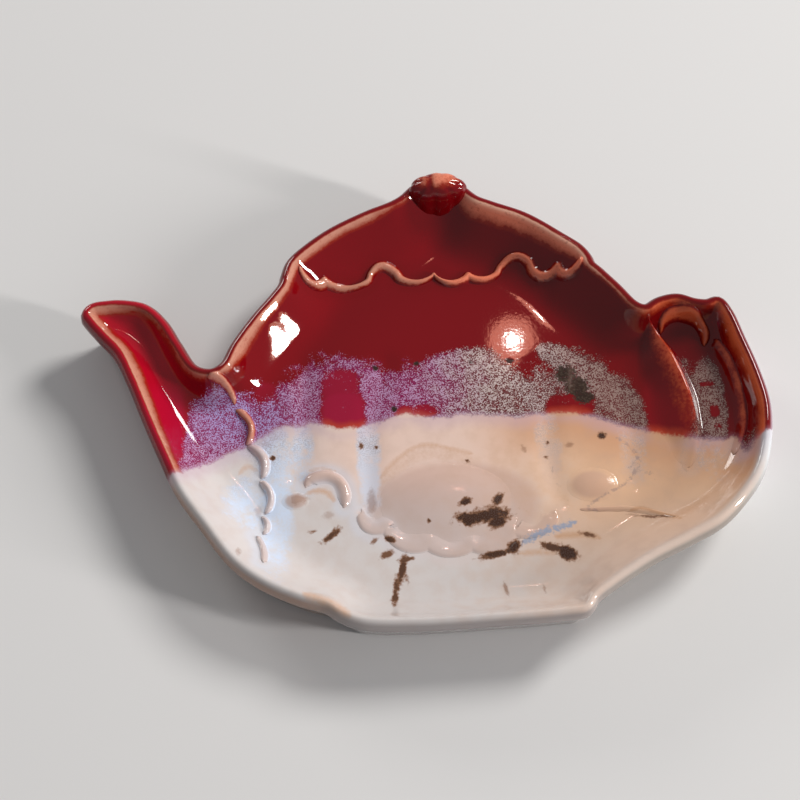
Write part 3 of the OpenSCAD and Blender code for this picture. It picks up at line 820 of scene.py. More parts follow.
# Where the red runs thin along the crest: place, width of the tan, width of the glow inside it,
# both in mm, and strength
BREAK_SHARES = [
    (-0.068, 0.424, 0.8, 1.2, 0.85), (-0.124, 0.385, 0.8, 1.0, 0.95), (-0.188, 0.312, 0.9, 1.0, 1.0),
    (-0.201, 0.259, 0.7, 0.8, 0.95), (-0.246, 0.178, 0.8, 1.3, 0.95), (-0.275, 0.119, 1.0, 1.4, 1.0),
    (-0.300, 0.065, 0.5, 0.7, 0.8), (-0.342, 0.068, 0.5, 0.7, 0.75), (-0.369, 0.128, 0.6, 1.0, 0.45),
    (-0.415, 0.217, 0.6, 1.0, 0.55), (-0.473, 0.230, 0.9, 1.0, 0.90), (-0.500, 0.212, 1.1, 1.6, 0.80),
    (-0.475, 0.163, 1.0, 1.7, 0.85), (-0.429, 0.055, 0.8, 1.8, 0.95), (-0.385, -0.105, 0.4, 1.5, 0.85),
    (-0.281, -0.354, 0.5, 1.0, 0.5), (0.302, -0.392, 0.5, 1.0, 0.5), (0.474, -0.221, 0.9, 1.2, 0.8),
    (0.500, -0.074, 0.7, 0.9, 0.85), (0.479, 0.080, 0.8, 1.2, 0.90), (0.456, 0.168, 0.8, 0.8, 0.85),
    (0.428, 0.165, 0.3, 0.6, 0.15), (0.415, 0.170, 0.4, 0.6, 0.5), (0.368, 0.174, 0.6, 0.7, 0.8),
    (0.329, 0.167, 0.4, 0.7, 0.65), (0.302, 0.216, 0.3, 0.7, 0.65), (0.268, 0.274, 0.5, 0.8, 0.8),
    (0.254, 0.314, 1.0, 1.6, 0.95), (0.176, 0.400, 1.2, 2.4, 1.0), (0.100, 0.451, 1.1, 2.4, 1.0),
    (0.044, 0.500, 0.5, 0.6, 0.3), (-0.028, 0.446, 0.5, 0.8, 0.5),
]

# Lower edge of the dipped red: shares of the crest's width and depth
DIP_SHARES = [
    (-0.500, -0.130), (-0.400, -0.185), (-0.367, -0.166), (-0.356, -0.157), (-0.323, -0.118),
    (-0.267, -0.077), (-0.244, -0.058), (-0.217, -0.039), (-0.181, -0.035), (-0.164, -0.031),
    (-0.128, -0.046), (-0.088, -0.042), (-0.056, -0.033), (-0.027, -0.019), (0.014, -0.034),
    (0.067, -0.029), (0.146, -0.042), (0.178, -0.036), (0.225, -0.035), (0.268, -0.059),
    (0.326, -0.085), (0.355, -0.099), (0.396, -0.119), (0.422, -0.126), (0.447, -0.129),
    (0.456, -0.122), (0.466, -0.172), (0.472, -0.172), (0.480, -0.150), (0.500, -0.136),
]
# Upper limit of the crystals in the red
HAZE_SHARES = [
    (-0.500, 0.00), (-0.365, 0.00), (-0.334, 0.035), (-0.290, 0.035), (-0.242, 0.075),
    (-0.199, 0.105), (-0.153, 0.140), (-0.106, 0.142), (-0.061, 0.118), (-0.015, 0.118),
    (0.030, 0.105), (0.078, 0.125), (0.123, 0.115), (0.168, 0.095), (0.217, 0.124), (0.250, 0.100),
    (0.278, 0.052), (0.308, -0.005), (0.345, -0.070), (0.395, 0.095), (0.412, 0.082),
    (0.445, 0.034), (0.460, -0.10), (0.500, -0.10),
]

# Places in the red without crystals, and places thick with them: place, size in mm, share
WINDOWS = [
    ((-0.121, -0.008), (4.2, 4.6), 0.95), ((0.222, -0.018), (4.8, 2.3), 0.9),
    ((-0.012, -0.014), (4.0, 1.3), 0.75), ((0.366, -0.045), (4.0, 7.5), 1.0),
    ((-0.236, 0.040), (2.0, 2.2), 0.35), ((-0.385, -0.050), (3.4, 9.5), 1.0),
    ((-0.125, 0.055), (3.6, 3.4), 0.75), ((0.430, 0.005), (1.5, 0.6), 0.9),
    ((0.436, -0.058), (0.9, 1.2), 0.9), ((0.437, -0.095), (0.8, 0.7), 0.6),
]
CLOUDS = [
    ((-0.175, 0.020), (2.2, 6.5), 0.95), ((-0.075, 0.020), (2.6, 7.0), 1.0),
    ((0.070, 0.060), (9.0, 6.0), 0.9),
    ((-0.300, -0.020), (6.5, 5.0), 0.9), ((0.432, -0.040), (2.8, 9.0), 0.95),
]
# Crystals drifting down towards the handle: places along them, half width in mm, strength
DRIFTS = [([(0.190, 0.120), (0.236, 0.074), (0.276, 0.020), (0.312, -0.034), (0.356, -0.092)], 5.8, 1.15)]
# Milky pools in the lower glaze: place, size in mm, share
MILK = [
    ((-0.228, -0.180), (3.6, 19.0), 0.62), ((-0.185, -0.090), (2.2, 6.5), 0.45),
    ((-0.086, -0.120), (2.2, 11.0), 0.75), ((0.184, -0.100), (2.4, 9.5), 0.55),
    ((0.308, -0.135), (2.6, 7.0), 0.45), ((-0.262, -0.205), (5.0, 6.0), 0.55),
    ((0.423, -0.160), (3.0, 6.0), 0.40),
]

# Iron stains: place, length and width in mm, turn in degrees, strength
STAINS = [
    (0.078, -0.260, 9.6, 2.6, 5, 1.0), (0.052, -0.228, 2.2, 1.3, 25, 0.9),
    (0.101, -0.223, 2.6, 1.5, 60, 0.9), (-0.147, -0.284, 3.8, 1.3, 38, 0.8),
    (-0.173, -0.274, 1.6, 0.6, 10, 0.5), (-0.061, -0.300, 1.8, 1.0, -20, 0.8),
    (-0.085, -0.302, 1.6, 0.8, 40, 0.5), (-0.067, -0.332, 2.4, 1.2, 20, 0.6),
    (-0.046, -0.364, 5.2, 1.2, 76, 0.8), (-0.058, -0.415, 5.6, 1.2, 80, 0.75),
    (-0.040, -0.344, 3.0, 0.8, 5, 0.7), (0.119, -0.327, 3.2, 2.0, 50, 0.9),
    (0.092, -0.343, 6.2, 1.2, 8, 0.85), (0.194, -0.348, 3.4, 2.4, -25, 1.0),
    (0.172, -0.335, 3.6, 1.6, -20, 0.8), (0.226, -0.311, 2.8, 0.9, -15, 0.6),
    (-0.003, -0.265, 0.8, 0.9, 0, 0.9), (0.060, -0.134, 0.9, 0.5, -10, 0.9),
    (0.183, -0.100, 0.7, 0.7, 0, 0.7), (0.178, -0.134, 0.8, 0.6, 0, 0.7),
    (0.265, -0.093, 1.7, 1.3, 10, 0.95), (-0.097, -0.088, 0.7, 1.2, 0, 0.7),
    (-0.074, -0.092, 0.6, 0.6, 0, 0.7), (-0.229, -0.105, 1.2, 1.0, 0, 0.8),
    (-0.085, -0.217, 1.6, 4.6, 0, 0.30), (-0.193, -0.203, 3.2, 2.2, 20, 0.32),
    (-0.252, -0.224, 1.6, 2.2, 0, 0.2), (-0.150, -0.240, 1.8, 1.4, 0, 0.2),
    (-0.277, -0.338, 1.0, 2.2, 0, 0.25), (0.215, -0.110, 1.4, 0.8, 10, 0.35),
    (0.146, -0.116, 0.8, 1.6, 20, 0.3), (0.101, -0.419, 0.6, 3.0, 12, 0.4),
    (0.156, -0.426, 0.5, 2.4, 8, 0.3), (-0.040, -0.385, 0.5, 2.0, 10, 0.4),
    (-0.006, 0.098, 1.0, 0.9, 0, 0.6), (-0.069, 0.093, 1.3, 1.0, 0, 0.7),
    (-0.044, -0.006, 1.0, 1.2, 0, 0.7), (0.137, 0.094, 1.2, 1.0, 0, 0.9), (0.078, 0.095, 0.8, 0.8, 0, 0.5),
    (0.096, -0.273, 3.2, 2.2, 20, 1.0), (0.056, -0.268, 3.0, 2.0, 0, 0.95),
    (0.318, -0.281, 6.4, 0.6, -12, 0.5),
]
# The dark moss-coloured patch in the red
MOSS = [
    ((0.222, 0.056), (2.4, 2.6), 0.85), ((0.236, 0.024), (2.7, 2.6), 1.0), ((0.246, -0.002), (2.3, 1.5), 1.0),
]
# Strokes of glaze that differ from their ground: places along them, half width in mm, strength
AMBER = [
    ([(-0.071, -0.164), (-0.047, -0.127), (-0.012, -0.096), (0.011, -0.095), (0.039, -0.107),
      (0.068, -0.118)], 0.9, 0.50),
    ([(-0.068, -0.173), (-0.040, -0.138), (-0.010, -0.115), (0.030, -0.118), (0.066, -0.130)], 2.4, 0.26),
    ([(-0.177, -0.138), (-0.158, -0.135), (-0.137, -0.143)], 0.7, 0.40),
    ([(-0.181, -0.189), (-0.163, -0.184), (-0.149, -0.191), (-0.139, -0.210)], 0.9, 0.65),
    ([(-0.281, -0.140), (-0.266, -0.122), (-0.254, -0.132)], 0.9, 0.45),
    ([(0.293, -0.264), (0.309, -0.260), (0.328, -0.272), (0.345, -0.287), (0.361, -0.302)], 0.65, 1.0),
    ([(0.180, -0.312), (0.198, -0.311), (0.226, -0.311), (0.245, -0.321)], 1.1, 0.75),
    ([(0.126, -0.344), (0.155, -0.344), (0.178, -0.348)], 1.1, 0.55),
    ([(0.451, -0.155), (0.446, -0.176), (0.437, -0.198)], 1.1, 0.70),
    ([(0.430, -0.154), (0.429, -0.174), (0.428, -0.197)], 0.8, 0.55),
    ([(0.464, -0.175), (0.455, -0.200), (0.444, -0.221)], 1.2, 0.40),
    ([(-0.185, -0.436), (-0.160, -0.452), (-0.140, -0.468), (-0.125, -0.485)], 2.4, 0.60),
    ([(0.402, -0.256), (0.377, -0.277), (0.348, -0.302)], 2.4, 0.35),
]
AZURE = [([(0.128, -0.325), (0.144, -0.313), (0.164, -0.300), (0.192, -0.291), (0.212, -0.281)], 1.3, 1.0)]
VEINS = [
    ([(0.286, -0.096), (0.294, -0.106), (0.310, -0.130), (0.316, -0.158), (0.299, -0.193), (0.282, -0.210),
      (0.260, -0.226), (0.240, -0.242), (0.230, -0.254), (0.249, -0.262)], 0.6, 1.0),
    ([(0.315, -0.176), (0.329, -0.183), (0.336, -0.202)], 0.6, 0.7),
    ([(0.300, -0.170), (0.318, -0.150)], 1.4, 0.5),
    ([(0.183, -0.097), (0.184, -0.132), (0.189, -0.189), (0.195, -0.223), (0.206, -0.246)], 1.2, 0.30),
]


# Distances inside the crest, in mm: where its break is looked for, where the red starts to run
# thin, and where the crest's own tone ends. Then the share of the tan that is at full strength
RIM_REACH = 6
CREST_BAND = (-0.12, 0.40)
CREST_TONE_BAND = (0.25, 1.0)
TAN_SHARE = 0.7
# Distances under the crystals' upper limit over which they set in, in mm, and their strength there
HAZE_BAND = (-1.5, 6.0)
HAZE_STRENGTH = 0.75
# Depth of a stain's field in its middle, and so its reach in half lengths
STAIN_REACH = 1.5
# A stroke's end: its length in half widths, and the share of the width at its tip
STROKE_ENDS = 1.5
STROKE_TIP_SHARE = 0.35


def blots(form, p, rows, square=3.2, full=0.7, end=1.15):
    """Greatest share of a list of soft patches at points.

    They are squarer for a higher power, and fade between two shares of their size.
    """
    out = np.zeros(len(p))
    for centre, size, share in rows:
        v = np.abs(p - form.place(centre)) / size
        r = (v ** square).sum(1) ** (1 / square)
        out = np.maximum(out, share * (1 - smooth_share(r, full, end)))
    return out


def strokes(form, p, rows):
    """Greatest share of a list of soft strokes at points, each fading at its ends."""
    out = np.zeros(len(p))
    for path, half, share in rows:
        line = open_curve([form.place(q) for q in path], STROKE_STEP)
        low, top = line.min(0) - half, line.max(0) + half
        near = np.nonzero(((p > low) & (p < top)).all(1))[0]
        if not len(near):
            continue
        gap, along, _ = line_distance(p[near], line)
        left = np.minimum(along, len(line) - 1 - along) * STROKE_STEP
        end = np.clip(left / (STROKE_ENDS * half), 0, 1)
        reach = half * (STROKE_TIP_SHARE + (1 - STROKE_TIP_SHARE) * np.sqrt(end))
        out[near] = np.maximum(out[near], share * (1 - smooth_share(gap / reach, 0.0, 1.0)))
    return out


def under_line(form, p, shares):
    """Distance above a given line across the dish, negative below it."""
    line = open_curve([form.place(q) for q in shares], LINE_STEP)
    gap, _, side = line_distance(p, line)
    return -gap * side


def rim_thin(form, p, gap):
    """How thin the red runs on the crest of the rim, from 0 to 1."""
    rows = np.array([(line_distance(form.place(r[:2])[None], form.crest, True)[1][0], *r[2:])
                     for r in BREAK_SHARES])
    rows = rows[rows[:, 0].argsort()]
    near = gap < RIM_REACH
    along = line_distance(p[near], form.crest, True)[1]
    tan, glow, share = [
        np.interp(along, rows[:, 0], rows[:, k], period=len(form.crest)) for k in (1, 2, 3)]
    g = gap[near]
    thin = smooth_share(g, *CREST_BAND) * (1 - smooth_share(g, tan * TAN_SHARE, tan + glow))
    out = np.zeros(len(p))
    out[near] = thin * share
    return out


def glaze_marks(form, p, gap):
    """Where the red dip ends, where crystals, milk and iron lie: fields for the glaze to fray."""
    haze = smooth_share(-under_line(form, p, HAZE_SHARES), *HAZE_BAND)
    haze = np.maximum(haze * HAZE_STRENGTH, blots(form, p, CLOUDS, square=2.4))
    haze = np.maximum(haze, strokes(form, p, DRIFTS))
    window = blots(form, p, WINDOWS)
    cone, depth = np.zeros(len(p)), np.zeros(len(p))
    for x, y, long, wide, turn, share in STAINS:
        v = p - form.place((x, y))
        c, s = math.cos(math.radians(turn)), math.sin(math.radians(turn))
        r = np.hypot((v[:, 0] * c + v[:, 1] * s) / (long / 2), (v[:, 1] * c - v[:, 0] * s) / (wide / 2))
        mine = np.clip(STAIN_REACH - r, 0, STAIN_REACH)
        depth = np.where(mine > cone, share, depth)
        cone = np.maximum(cone, mine)
    return {
        "thin": rim_thin(form, p, gap),
        "dip": under_line(form, p, DIP_SHARES), "haze": haze * (1 - window), "window": window,
        "milk": blots(form, p, MILK, square=2.4, full=0.45, end=1.25),
        "stain": cone, "stain_depth": depth,
        "amber": strokes(form, p, AMBER), "azure": strokes(form, p, AZURE),
        "vein": strokes(form, p, VEINS),
        "moss": blots(form, p, MOSS, square=2.0, full=0.3, end=1.3),
        "crest": 1 - smooth_share(gap, *CREST_TONE_BAND)}


class Noise:
    """Counts of lumps to the mm in the noises that fray the glazes."""

    SLOW, DRIFT, FINE = 0.11, 0.4, 1.6
    CLUMP, CRYSTAL = 0.9, 4.4


class Tone:
    """Tones that the glazes shade into, besides the colours on the panel."""

    # the red: its clear windows, a brighter red in the spout that is painted light against the shade of its
    # channel, and the ground and the crystals of its hazy band
    CLEAR_LEFT, CLEAR_RIGHT = (0.36, 0.006, 0.044), (0.22, 0.001, 0.005)
    SPOUT = (0.46, 0.003, 0.018)
    VIOLET_GROUND, GREY_GROUND = (0.22, 0.010, 0.085), (0.110, 0.028, 0.028)
    BLUE_GROUND = (0.26, 0.035, 0.140)
    GREY_CRYSTAL, BROWN_CRYSTAL, BLUE_CRYSTAL = (0.62, 0.54, 0.52), (0.37, 0.27, 0.23), (0.46, 0.44, 0.80)
    # its breaks on ridges and on the rim's crest, and the outer wall: a dark red there is painted shade, and
    # a pale lilac towards the handle is a painted reflection
    ROSE_RIDGE, ROSE_CREST = (0.82, 0.215, 0.120), (0.98, 0.55, 0.39)
    TAN_CREST, RUSSET_CREST = (0.62, 0.280, 0.200), (0.78, 0.150, 0.055)
    RED_WALL, HANDLE_WALL = (0.060, 0.0008, 0.0020), (0.50, 0.40, 0.48)
    # the lower glaze
    LOW_BLUSH, WARM_BAND = (0.64, 0.47, 0.41), (0.60, 0.300, 0.165)
    RAISED, CLOUDED = (0.50, 0.300, 0.240), (0.52, 0.36, 0.28)
    MILK_MIDDLE, MILK_RIGHT = (0.70, 0.57, 0.54), (0.66, 0.46, 0.36)
    SUNK_CRYSTAL, VEIN = (0.34, 0.28, 0.29), (0.30, 0.21, 0.20)
    # a pale blue-white crest towards the handle: pooled glaze, and partly a painted highlight
    PALE_RIM = (0.60, 0.65, 0.68)
    # the outer wall: painted shade at the front and on the left, the left with a brown tint, and painted
    # light towards the handle
    WALL_LOW, WALL_HIGH = (0.30, 0.265, 0.230), (0.72, 0.77, 0.80)
    WALL_MIDDLE, WALL_LEFT, WALL_CLOUDED = (0.31, 0.270, 0.265), (0.40, 0.23, 0.16), (0.34, 0.29, 0.27)
    # the lip between the two, the stains and the bare clay
    LIP_GLOW, LIP_VEIL = (0.46, 0.045, 0.016), (0.52, 0.36, 0.46)
    RUST, MOSS_EDGE, DARK_CLAY = (0.27, 0.130, 0.070), (0.062, 0.040, 0.026), (0.42, 0.30, 0.20)


class Fray:
    """Shares of drift and fine that fray a mark, and for a mask four numbers more.

    These are the two levels between which the mask sets in, the level of the mark from which it is
    whole, and its greatest share.
    """

    RIM, RIDGE, STAIN = (0.45, 0.35), (0.7, 0.5), (1.5, 1.0)
    HAZE = (1.3, 0.5, 0.05, 0.95, 0.12, 1.0)
    MILK = (1.3, 0.5, 0.00, 0.85, 0.25, 1.0)
    AMBER = (0.0, 0.5, 0.08, 0.90, 0.20, 1.0)
    VEIN = (0.0, 3.0, 0.40, 1.15, 0.30, 0.50)
    AZURE = (0.0, 3.0, 0.25, 1.05, 0.20, 0.85)
    MOSS = (0.0, 1.8, 0.35, 0.75, 0.20, 1.0)


class Level:
    """Levels of marks, noises and ovals between which a change sets in."""

    GROUND, GRAIN, CREST_CLEAR = (0.05, 0.8), (-0.06, 0.13), (0.1, 0.8)
    RIM_HOLD, RIDGE_HOLD, GRAIN_HOLD = (0.0, 0.25), (0.0, 0.2), (0.0, 0.3)
    RIDGE, EMBER, BARE_TONE, EMBER_SPOTS = (0.12, 0.85), (0.04, 0.50), (0.38, 0.85), (0.0, 0.3)
    RED_WALL, OUTER = (-0.12, 0.2), (0.05, 0.4)
    BLUE_OVAL, ROSY_OVAL, FLOWER_OVAL = (0.2, 1.3), (0.35, 1.2), (0.84, 1.06)
    RAISED, SHED_MILK, CLOUDS, WALL_CLOUDS = (0.02, 0.45), (0.1, 0.6), (-0.1, 0.2), (-0.1, 0.25)
    STAIN, RUST, IRON, RUSTY_LIFT = (0.20, 0.95), (0.02, 0.55), (0.35, 0.90), (0.05, 0.7)
    MOSS_EDGE, DARK_CLAY, BARE_CLAY = (-0.05, 0.15), (-0.2, 0.2), (0.04, 0.18)


class Cover:
    """How much of the glaze under it a tone covers, at most."""

    DEEP_RED, POOLED_RED, CLEAR_RED, SPOUT, GROUND, CRYSTAL = 0.85, 0.40, 0.75, 0.75, 0.85, 0.72
    EMBER_SPOTS, RED_WALL, HANDLE_WALL, OUTER, LIP_GLOW, LIP_VEIL = 0.45, 0.60, 0.85, 0.85, 0.90, 0.55
    LOW_BLUSH, BLUSH, WARM_BAND, RAISED, FLOWER, CLOUDS = 0.75, 0.90, 0.75, 0.45, 0.42, 0.16
    POOLED_MILK, SUNK_CRYSTAL, WALL_CLOUDS = 0.40, 0.60, 0.35
    # least shares, where a tone doesn't go to nothing
    FRONT_HONEY, RAISED_MILK, FRONT_RIM = 0.45, 0.25, 0.12


class Across:
    """Stretches from left to right over which a glaze changes, in mm from the dish's middle."""

    # how far a full step of noise carries some of them
    RED_SWAY, GREY_SWAY, HONEY_SWAY = 16.0, 12.0, 14.0
    SPOUT = (-47.0, -37.0)
    DEEP_RED = (8.0, 48.0)
    CLEAR_RED = (-6.0, 14.0)
    GREY = (-4.0, 14.0)
    BROWN = (16.0, 34.0)
    ROSE_BREAK = (-8.0, 14.0)
    RUSSET_BREAK = (30.0, 44.0)
    HANDLE_WALL = (38.0, 52.0)
    HONEY = (0.0, 30.0)
    WARM_BAND = (6.0, 22.0)
    NO_RAISED = (28.0, 36.0)
    MILK_MIDDLE = (-22.0, 6.0)
    MILK_RIGHT = (8.0, 20.0)
    PALE_RIM = (22.0, 34.0)
    PALE_WALL = (20.0, 34.0)
    PLAIN_WALL = (-22.0, -14.0)


class Upward:
    """Stretches from the foot to the knob, and below and above the dip line, in mm."""

    # how far a full step of drift and of fine noise carries the dip line
    DIP_DRIFT, DIP_FINE = 1.3, 0.9
    HANDLE_WALL = (4.0, 14.0)
    HONEY = (-36.0, -16.0)
    LOW_BLUSH = (-21.0, -11.0)
    PALE_RIM = (-32.0, -8.0)
    PALE_WALL = (-26.0, -12.0)
    DIP_BAND = (-10.0, -2.0)
    DIP_SUNK = (-10.0, -1.0)
    DIP_GLOW = (0.1, 1.8)
    DIP_VEIL_BELOW, DIP_VEIL_ABOVE = (-3.2, 0.0), (0.0, 1.2)
    DIP_COVER = (-0.35, 0.4)


# How far a ridge's own break counts beside its lift
BREAK_WEIGHT = 0.9
# Crystals: how much their clumps count beside them, and the bar over which they show, at no haze
# and for each unit of it
CLUMP_SHARE, GRAIN_BAR, GRAIN_BAR_HAZE = 0.3, 0.66, -0.20
# Roughness of the glaze, and what crystals, stains and bare clay add to it
ROUGH, ROUGH_GRAIN, ROUGH_STAIN, ROUGH_CLAY = 0.03, 0.08, 0.2, 0.55
# Heights in mm that the noises, the crystals and the stains give to the glaze
DRIFT_HEIGHT, FINE_HEIGHT, GRAIN_HEIGHT, STAIN_HEIGHT = 0.004, 0.0016, 0.0015, -0.02
# Ovals of colour: place, then half width and half depth in mm
BLUE_OVAL = ((-0.28, -0.01), (11, 7))
ROSY_OVAL = ((0.02, -0.09), (32, 13))
FLOWER_OVAL = ((0.034, -0.236), (15.5, 8.6))


def grain_group():
    """Fine crystals, thicker where Haze is higher."""
    w, given, out = new_group("crystals", [("Place", VECTOR, None), ("Haze", NUMBER, 0.5)],
                              [("Grain", NUMBER)])
    fine = w.noise(given["Place"], Noise.CRYSTAL, 1)
    clump = w.noise(given["Place"], Noise.CLUMP, 2)
    mixed = w.plus(w.minus(clump, 0.5), CLUMP_SHARE, fine)
    over = w.minus(mixed, w.plus(given["Haze"], GRAIN_BAR_HAZE, GRAIN_BAR))
    w.put(out["Grain"], w.times(w.step(over, *Level.GRAIN), w.step(given["Haze"], *Level.GRAIN_HOLD)))
    return w.tree


def frayed(w, fields, field, drift_share, fine_share):
    """A field with shares of the two noises on top."""
    field = w.plus(fields["fine"], fine_share, field)
    return w.plus(fields["drift"], drift_share, field) if drift_share else field


def frayed_mask(w, fields, mark, kind, straight=False):
    """A mark frayed by the noises into a mask, and held to where the mark is."""
    drift_share, fine_share, low, high, whole, top = kind
    ease = w.ramp if straight else w.step
    share = ease(frayed(w, fields, mark, drift_share, fine_share), low, high)
    return w.times(share, w.step(mark, 0.0, whole, 0.0, top))


def red_glaze(w, given, colours, x, y, fields):
    """The dipped red: its depth, its crystals, its breaks over the rim and the ridges, painted light in the
    spout, and painted shade and a painted reflection on its outer wall.
    """
    drift, fine, haze, blue = (fields[key] for key in ("drift", "fine", "haze", "blue"))
    deep = w.step(w.plus(fields["slow"], Across.RED_SWAY, x), *Across.DEEP_RED, 0.0, Cover.DEEP_RED)
    red = w.mix(deep, colours.crimson, colours.deep_crimson)
    red = w.mix(w.times(given["Pool"], Cover.POOLED_RED), red, colours.deep_crimson)
    clear = w.mix(w.step(x, *Across.CLEAR_RED), Tone.CLEAR_LEFT, Tone.CLEAR_RIGHT)
    red = w.mix(w.times(given["Window"], Cover.CLEAR_RED), red, clear)
    # Painted light: a brighter red in the spout, against the shade of its channel
    red = w.mix(w.step(x, *Across.SPOUT, Cover.SPOUT, 0.0), red, Tone.SPOUT)
    grey = w.step(w.plus(drift, Across.GREY_SWAY, x), *Across.GREY)
    tint = w.mix(grey, Tone.VIOLET_GROUND, Tone.GREY_GROUND)
    tint = w.mix(blue, tint, Tone.BLUE_GROUND)
    red = w.mix(w.step(haze, *Level.GROUND, 0.0, Cover.GROUND), red, tint)
    crystal = w.mix(grey, colours.lilac, Tone.GREY_CRYSTAL)
    crystal = w.mix(w.step(x, *Across.BROWN), crystal, Tone.BROWN_CRYSTAL)
    crystal = w.mix(blue, crystal, Tone.BLUE_CRYSTAL)
    red = w.mix(w.times(fields["grain"], Cover.CRYSTAL), red, crystal)

    rim_break = frayed(w, fields, given["Thin"], *Fray.RIM)
    rim_break = w.times(rim_break, w.step(given["Thin"], *Level.RIM_HOLD))
    lifted = w.plus(w.minus(given["Break"], 1.0), BREAK_WEIGHT, given["Lift"])
    lifted = frayed(w, fields, lifted, *Fray.RIDGE)
    ridge = w.times(w.ramp(lifted, *Level.RIDGE), w.step(given["Lift"], *Level.RIDGE_HOLD))
    thin = w.most(rim_break, ridge)
    far_tone = w.mix(given["Crest"], Tone.ROSE_RIDGE, Tone.ROSE_CREST)
    near_tone = w.mix(given["Crest"], colours.tan, Tone.TAN_CREST)
    handle_tone = w.mix(given["Crest"], colours.russet, Tone.RUSSET_CREST)
    bare_tone = w.mix(w.step(x, *Across.ROSE_BREAK), near_tone, far_tone)
    bare_tone = w.mix(w.step(x, *Across.RUSSET_BREAK), bare_tone, handle_tone)
    spots = w.step(fine, *Level.EMBER_SPOTS, 0.0, Cover.EMBER_SPOTS)
    bare_tone = w.mix(spots, bare_tone, colours.ember)
    red = w.mix(w.ramp(thin, *Level.EMBER), red, colours.ember)
    red = w.mix(w.ramp(thin, *Level.BARE_TONE), red, bare_tone)

    # Painted reflection: a pale lilac on the outer wall towards the handle
    pale_side = w.step(x, *Across.HANDLE_WALL, 0.0, Cover.HANDLE_WALL)
    pale_side = w.times(pale_side, w.step(y, *Upward.HANDLE_WALL, 1.0, 0.0))
    # Painted shade: the outer wall turns dark red, darker still in patches
    clouds = w.step(drift, *Level.RED_WALL, 0.0, Cover.RED_WALL)
    outer_red = w.mix(clouds, colours.deep_crimson, Tone.RED_WALL)
    outer_red = w.mix(pale_side, outer_red, Tone.HANDLE_WALL)
    red = w.mix(w.times(fields["outer"], Cover.OUTER), red, outer_red)

    glow = w.times(w.step(fields["depth"], *Upward.DIP_GLOW, 1.0, 0.0), given["Window"])
    return w.mix(w.times(glow, Cover.LIP_GLOW), red, Tone.LIP_GLOW)


def lower_glaze(w, given, colours, x, y, fields):
    """The clear lower glaze: its warm casts, milky pools, veins, a pale rim that is partly a painted
    highlight, and painted light and shade on the outer wall.
    """
    drift, depth = fields["drift"], fields["depth"]
    warm = w.step(w.plus(drift, Across.HONEY_SWAY, x), *Across.HONEY)
    low = w.step(y, *Upward.HONEY, Cover.FRONT_HONEY, 1.0)
    low_blush = w.step(y, *Upward.LOW_BLUSH, Cover.LOW_BLUSH, 0.0)
    blush = w.mix(low_blush, colours.blush, Tone.LOW_BLUSH)
    base = w.mix(w.step(fields["rosy"], *Level.ROSY_OVAL, Cover.BLUSH, 0.0), colours.cream, blush)
    base = w.mix(w.times(warm, low), base, colours.honey)
    band = w.step(depth, *Upward.DIP_BAND, 0.0, Cover.WARM_BAND)
    base = w.mix(w.times(band, w.step(x, *Across.WARM_BAND)), base, Tone.WARM_BAND)
    raised = w.step(given["Lift"], *Level.RAISED, 0.0, Cover.RAISED)
    raised = w.times(raised, w.step(x, *Across.NO_RAISED, 1.0, 0.0))
    raised = w.most(raised, w.step(fields["flower"], *Level.FLOWER_OVAL, Cover.FLOWER, 0.0))
    base = w.mix(raised, base, Tone.RAISED)
    base = w.mix(w.step(drift, *Level.CLOUDS, 0.0, Cover.CLOUDS), base, Tone.CLOUDED)

    pooled = frayed_mask(w, fields, given["Milk"], Fray.MILK)
    pooled = w.times(pooled, w.step(given["Lift"], *Level.SHED_MILK, 1.0, Cover.RAISED_MILK))
    pooled = w.most(pooled, w.times(given["Pool"], Cover.POOLED_MILK))
    milky = w.mix(w.step(x, *Across.MILK_MIDDLE), colours.milk, Tone.MILK_MIDDLE)
    milky = w.mix(w.step(x, *Across.MILK_RIGHT), milky, Tone.MILK_RIGHT)
    base = w.mix(pooled, base, milky)
    sunk = w.times(w.times(w.step(depth, *Upward.DIP_SUNK), pooled), fields["grain"])
    base = w.mix(w.times(sunk, Cover.SUNK_CRYSTAL), base, Tone.SUNK_CRYSTAL)

    amber = frayed_mask(w, fields, given["Amber"], Fray.AMBER, straight=True)
    base = w.mix(amber, base, colours.amber)
    base = w.mix(frayed_mask(w, fields, given["Vein"], Fray.VEIN), base, Tone.VEIN)
    base = w.mix(frayed_mask(w, fields, given["Azure"], Fray.AZURE), base, colours.azure)

    # Pale blue-white crest towards the handle: pooled glaze, and partly a painted highlight
    pale_rim = w.times(w.step(x, *Across.PALE_RIM), given["Crest"])
    pale_rim = w.times(pale_rim, w.step(y, *Upward.PALE_RIM, Cover.FRONT_RIM, 1.0))
    base = w.mix(pale_rim, base, Tone.PALE_RIM)
    # Painted light and shade on the outer wall: shaded at the front and on the left, lit pale towards the
    # handle
    pale_wall = w.mix(w.step(y, *Upward.PALE_WALL), Tone.WALL_LOW, Tone.WALL_HIGH)
    front = w.mix(w.step(x, *Across.PALE_WALL), Tone.WALL_MIDDLE, pale_wall)
    front = w.mix(w.step(x, *Across.PLAIN_WALL), Tone.WALL_LEFT, front)
    front = w.mix(w.step(drift, *Level.WALL_CLOUDS, 0.0, Cover.WALL_CLOUDS), front, Tone.WALL_CLOUDED)
    return w.mix(w.times(fields["outer"], Cover.OUTER), base, front)


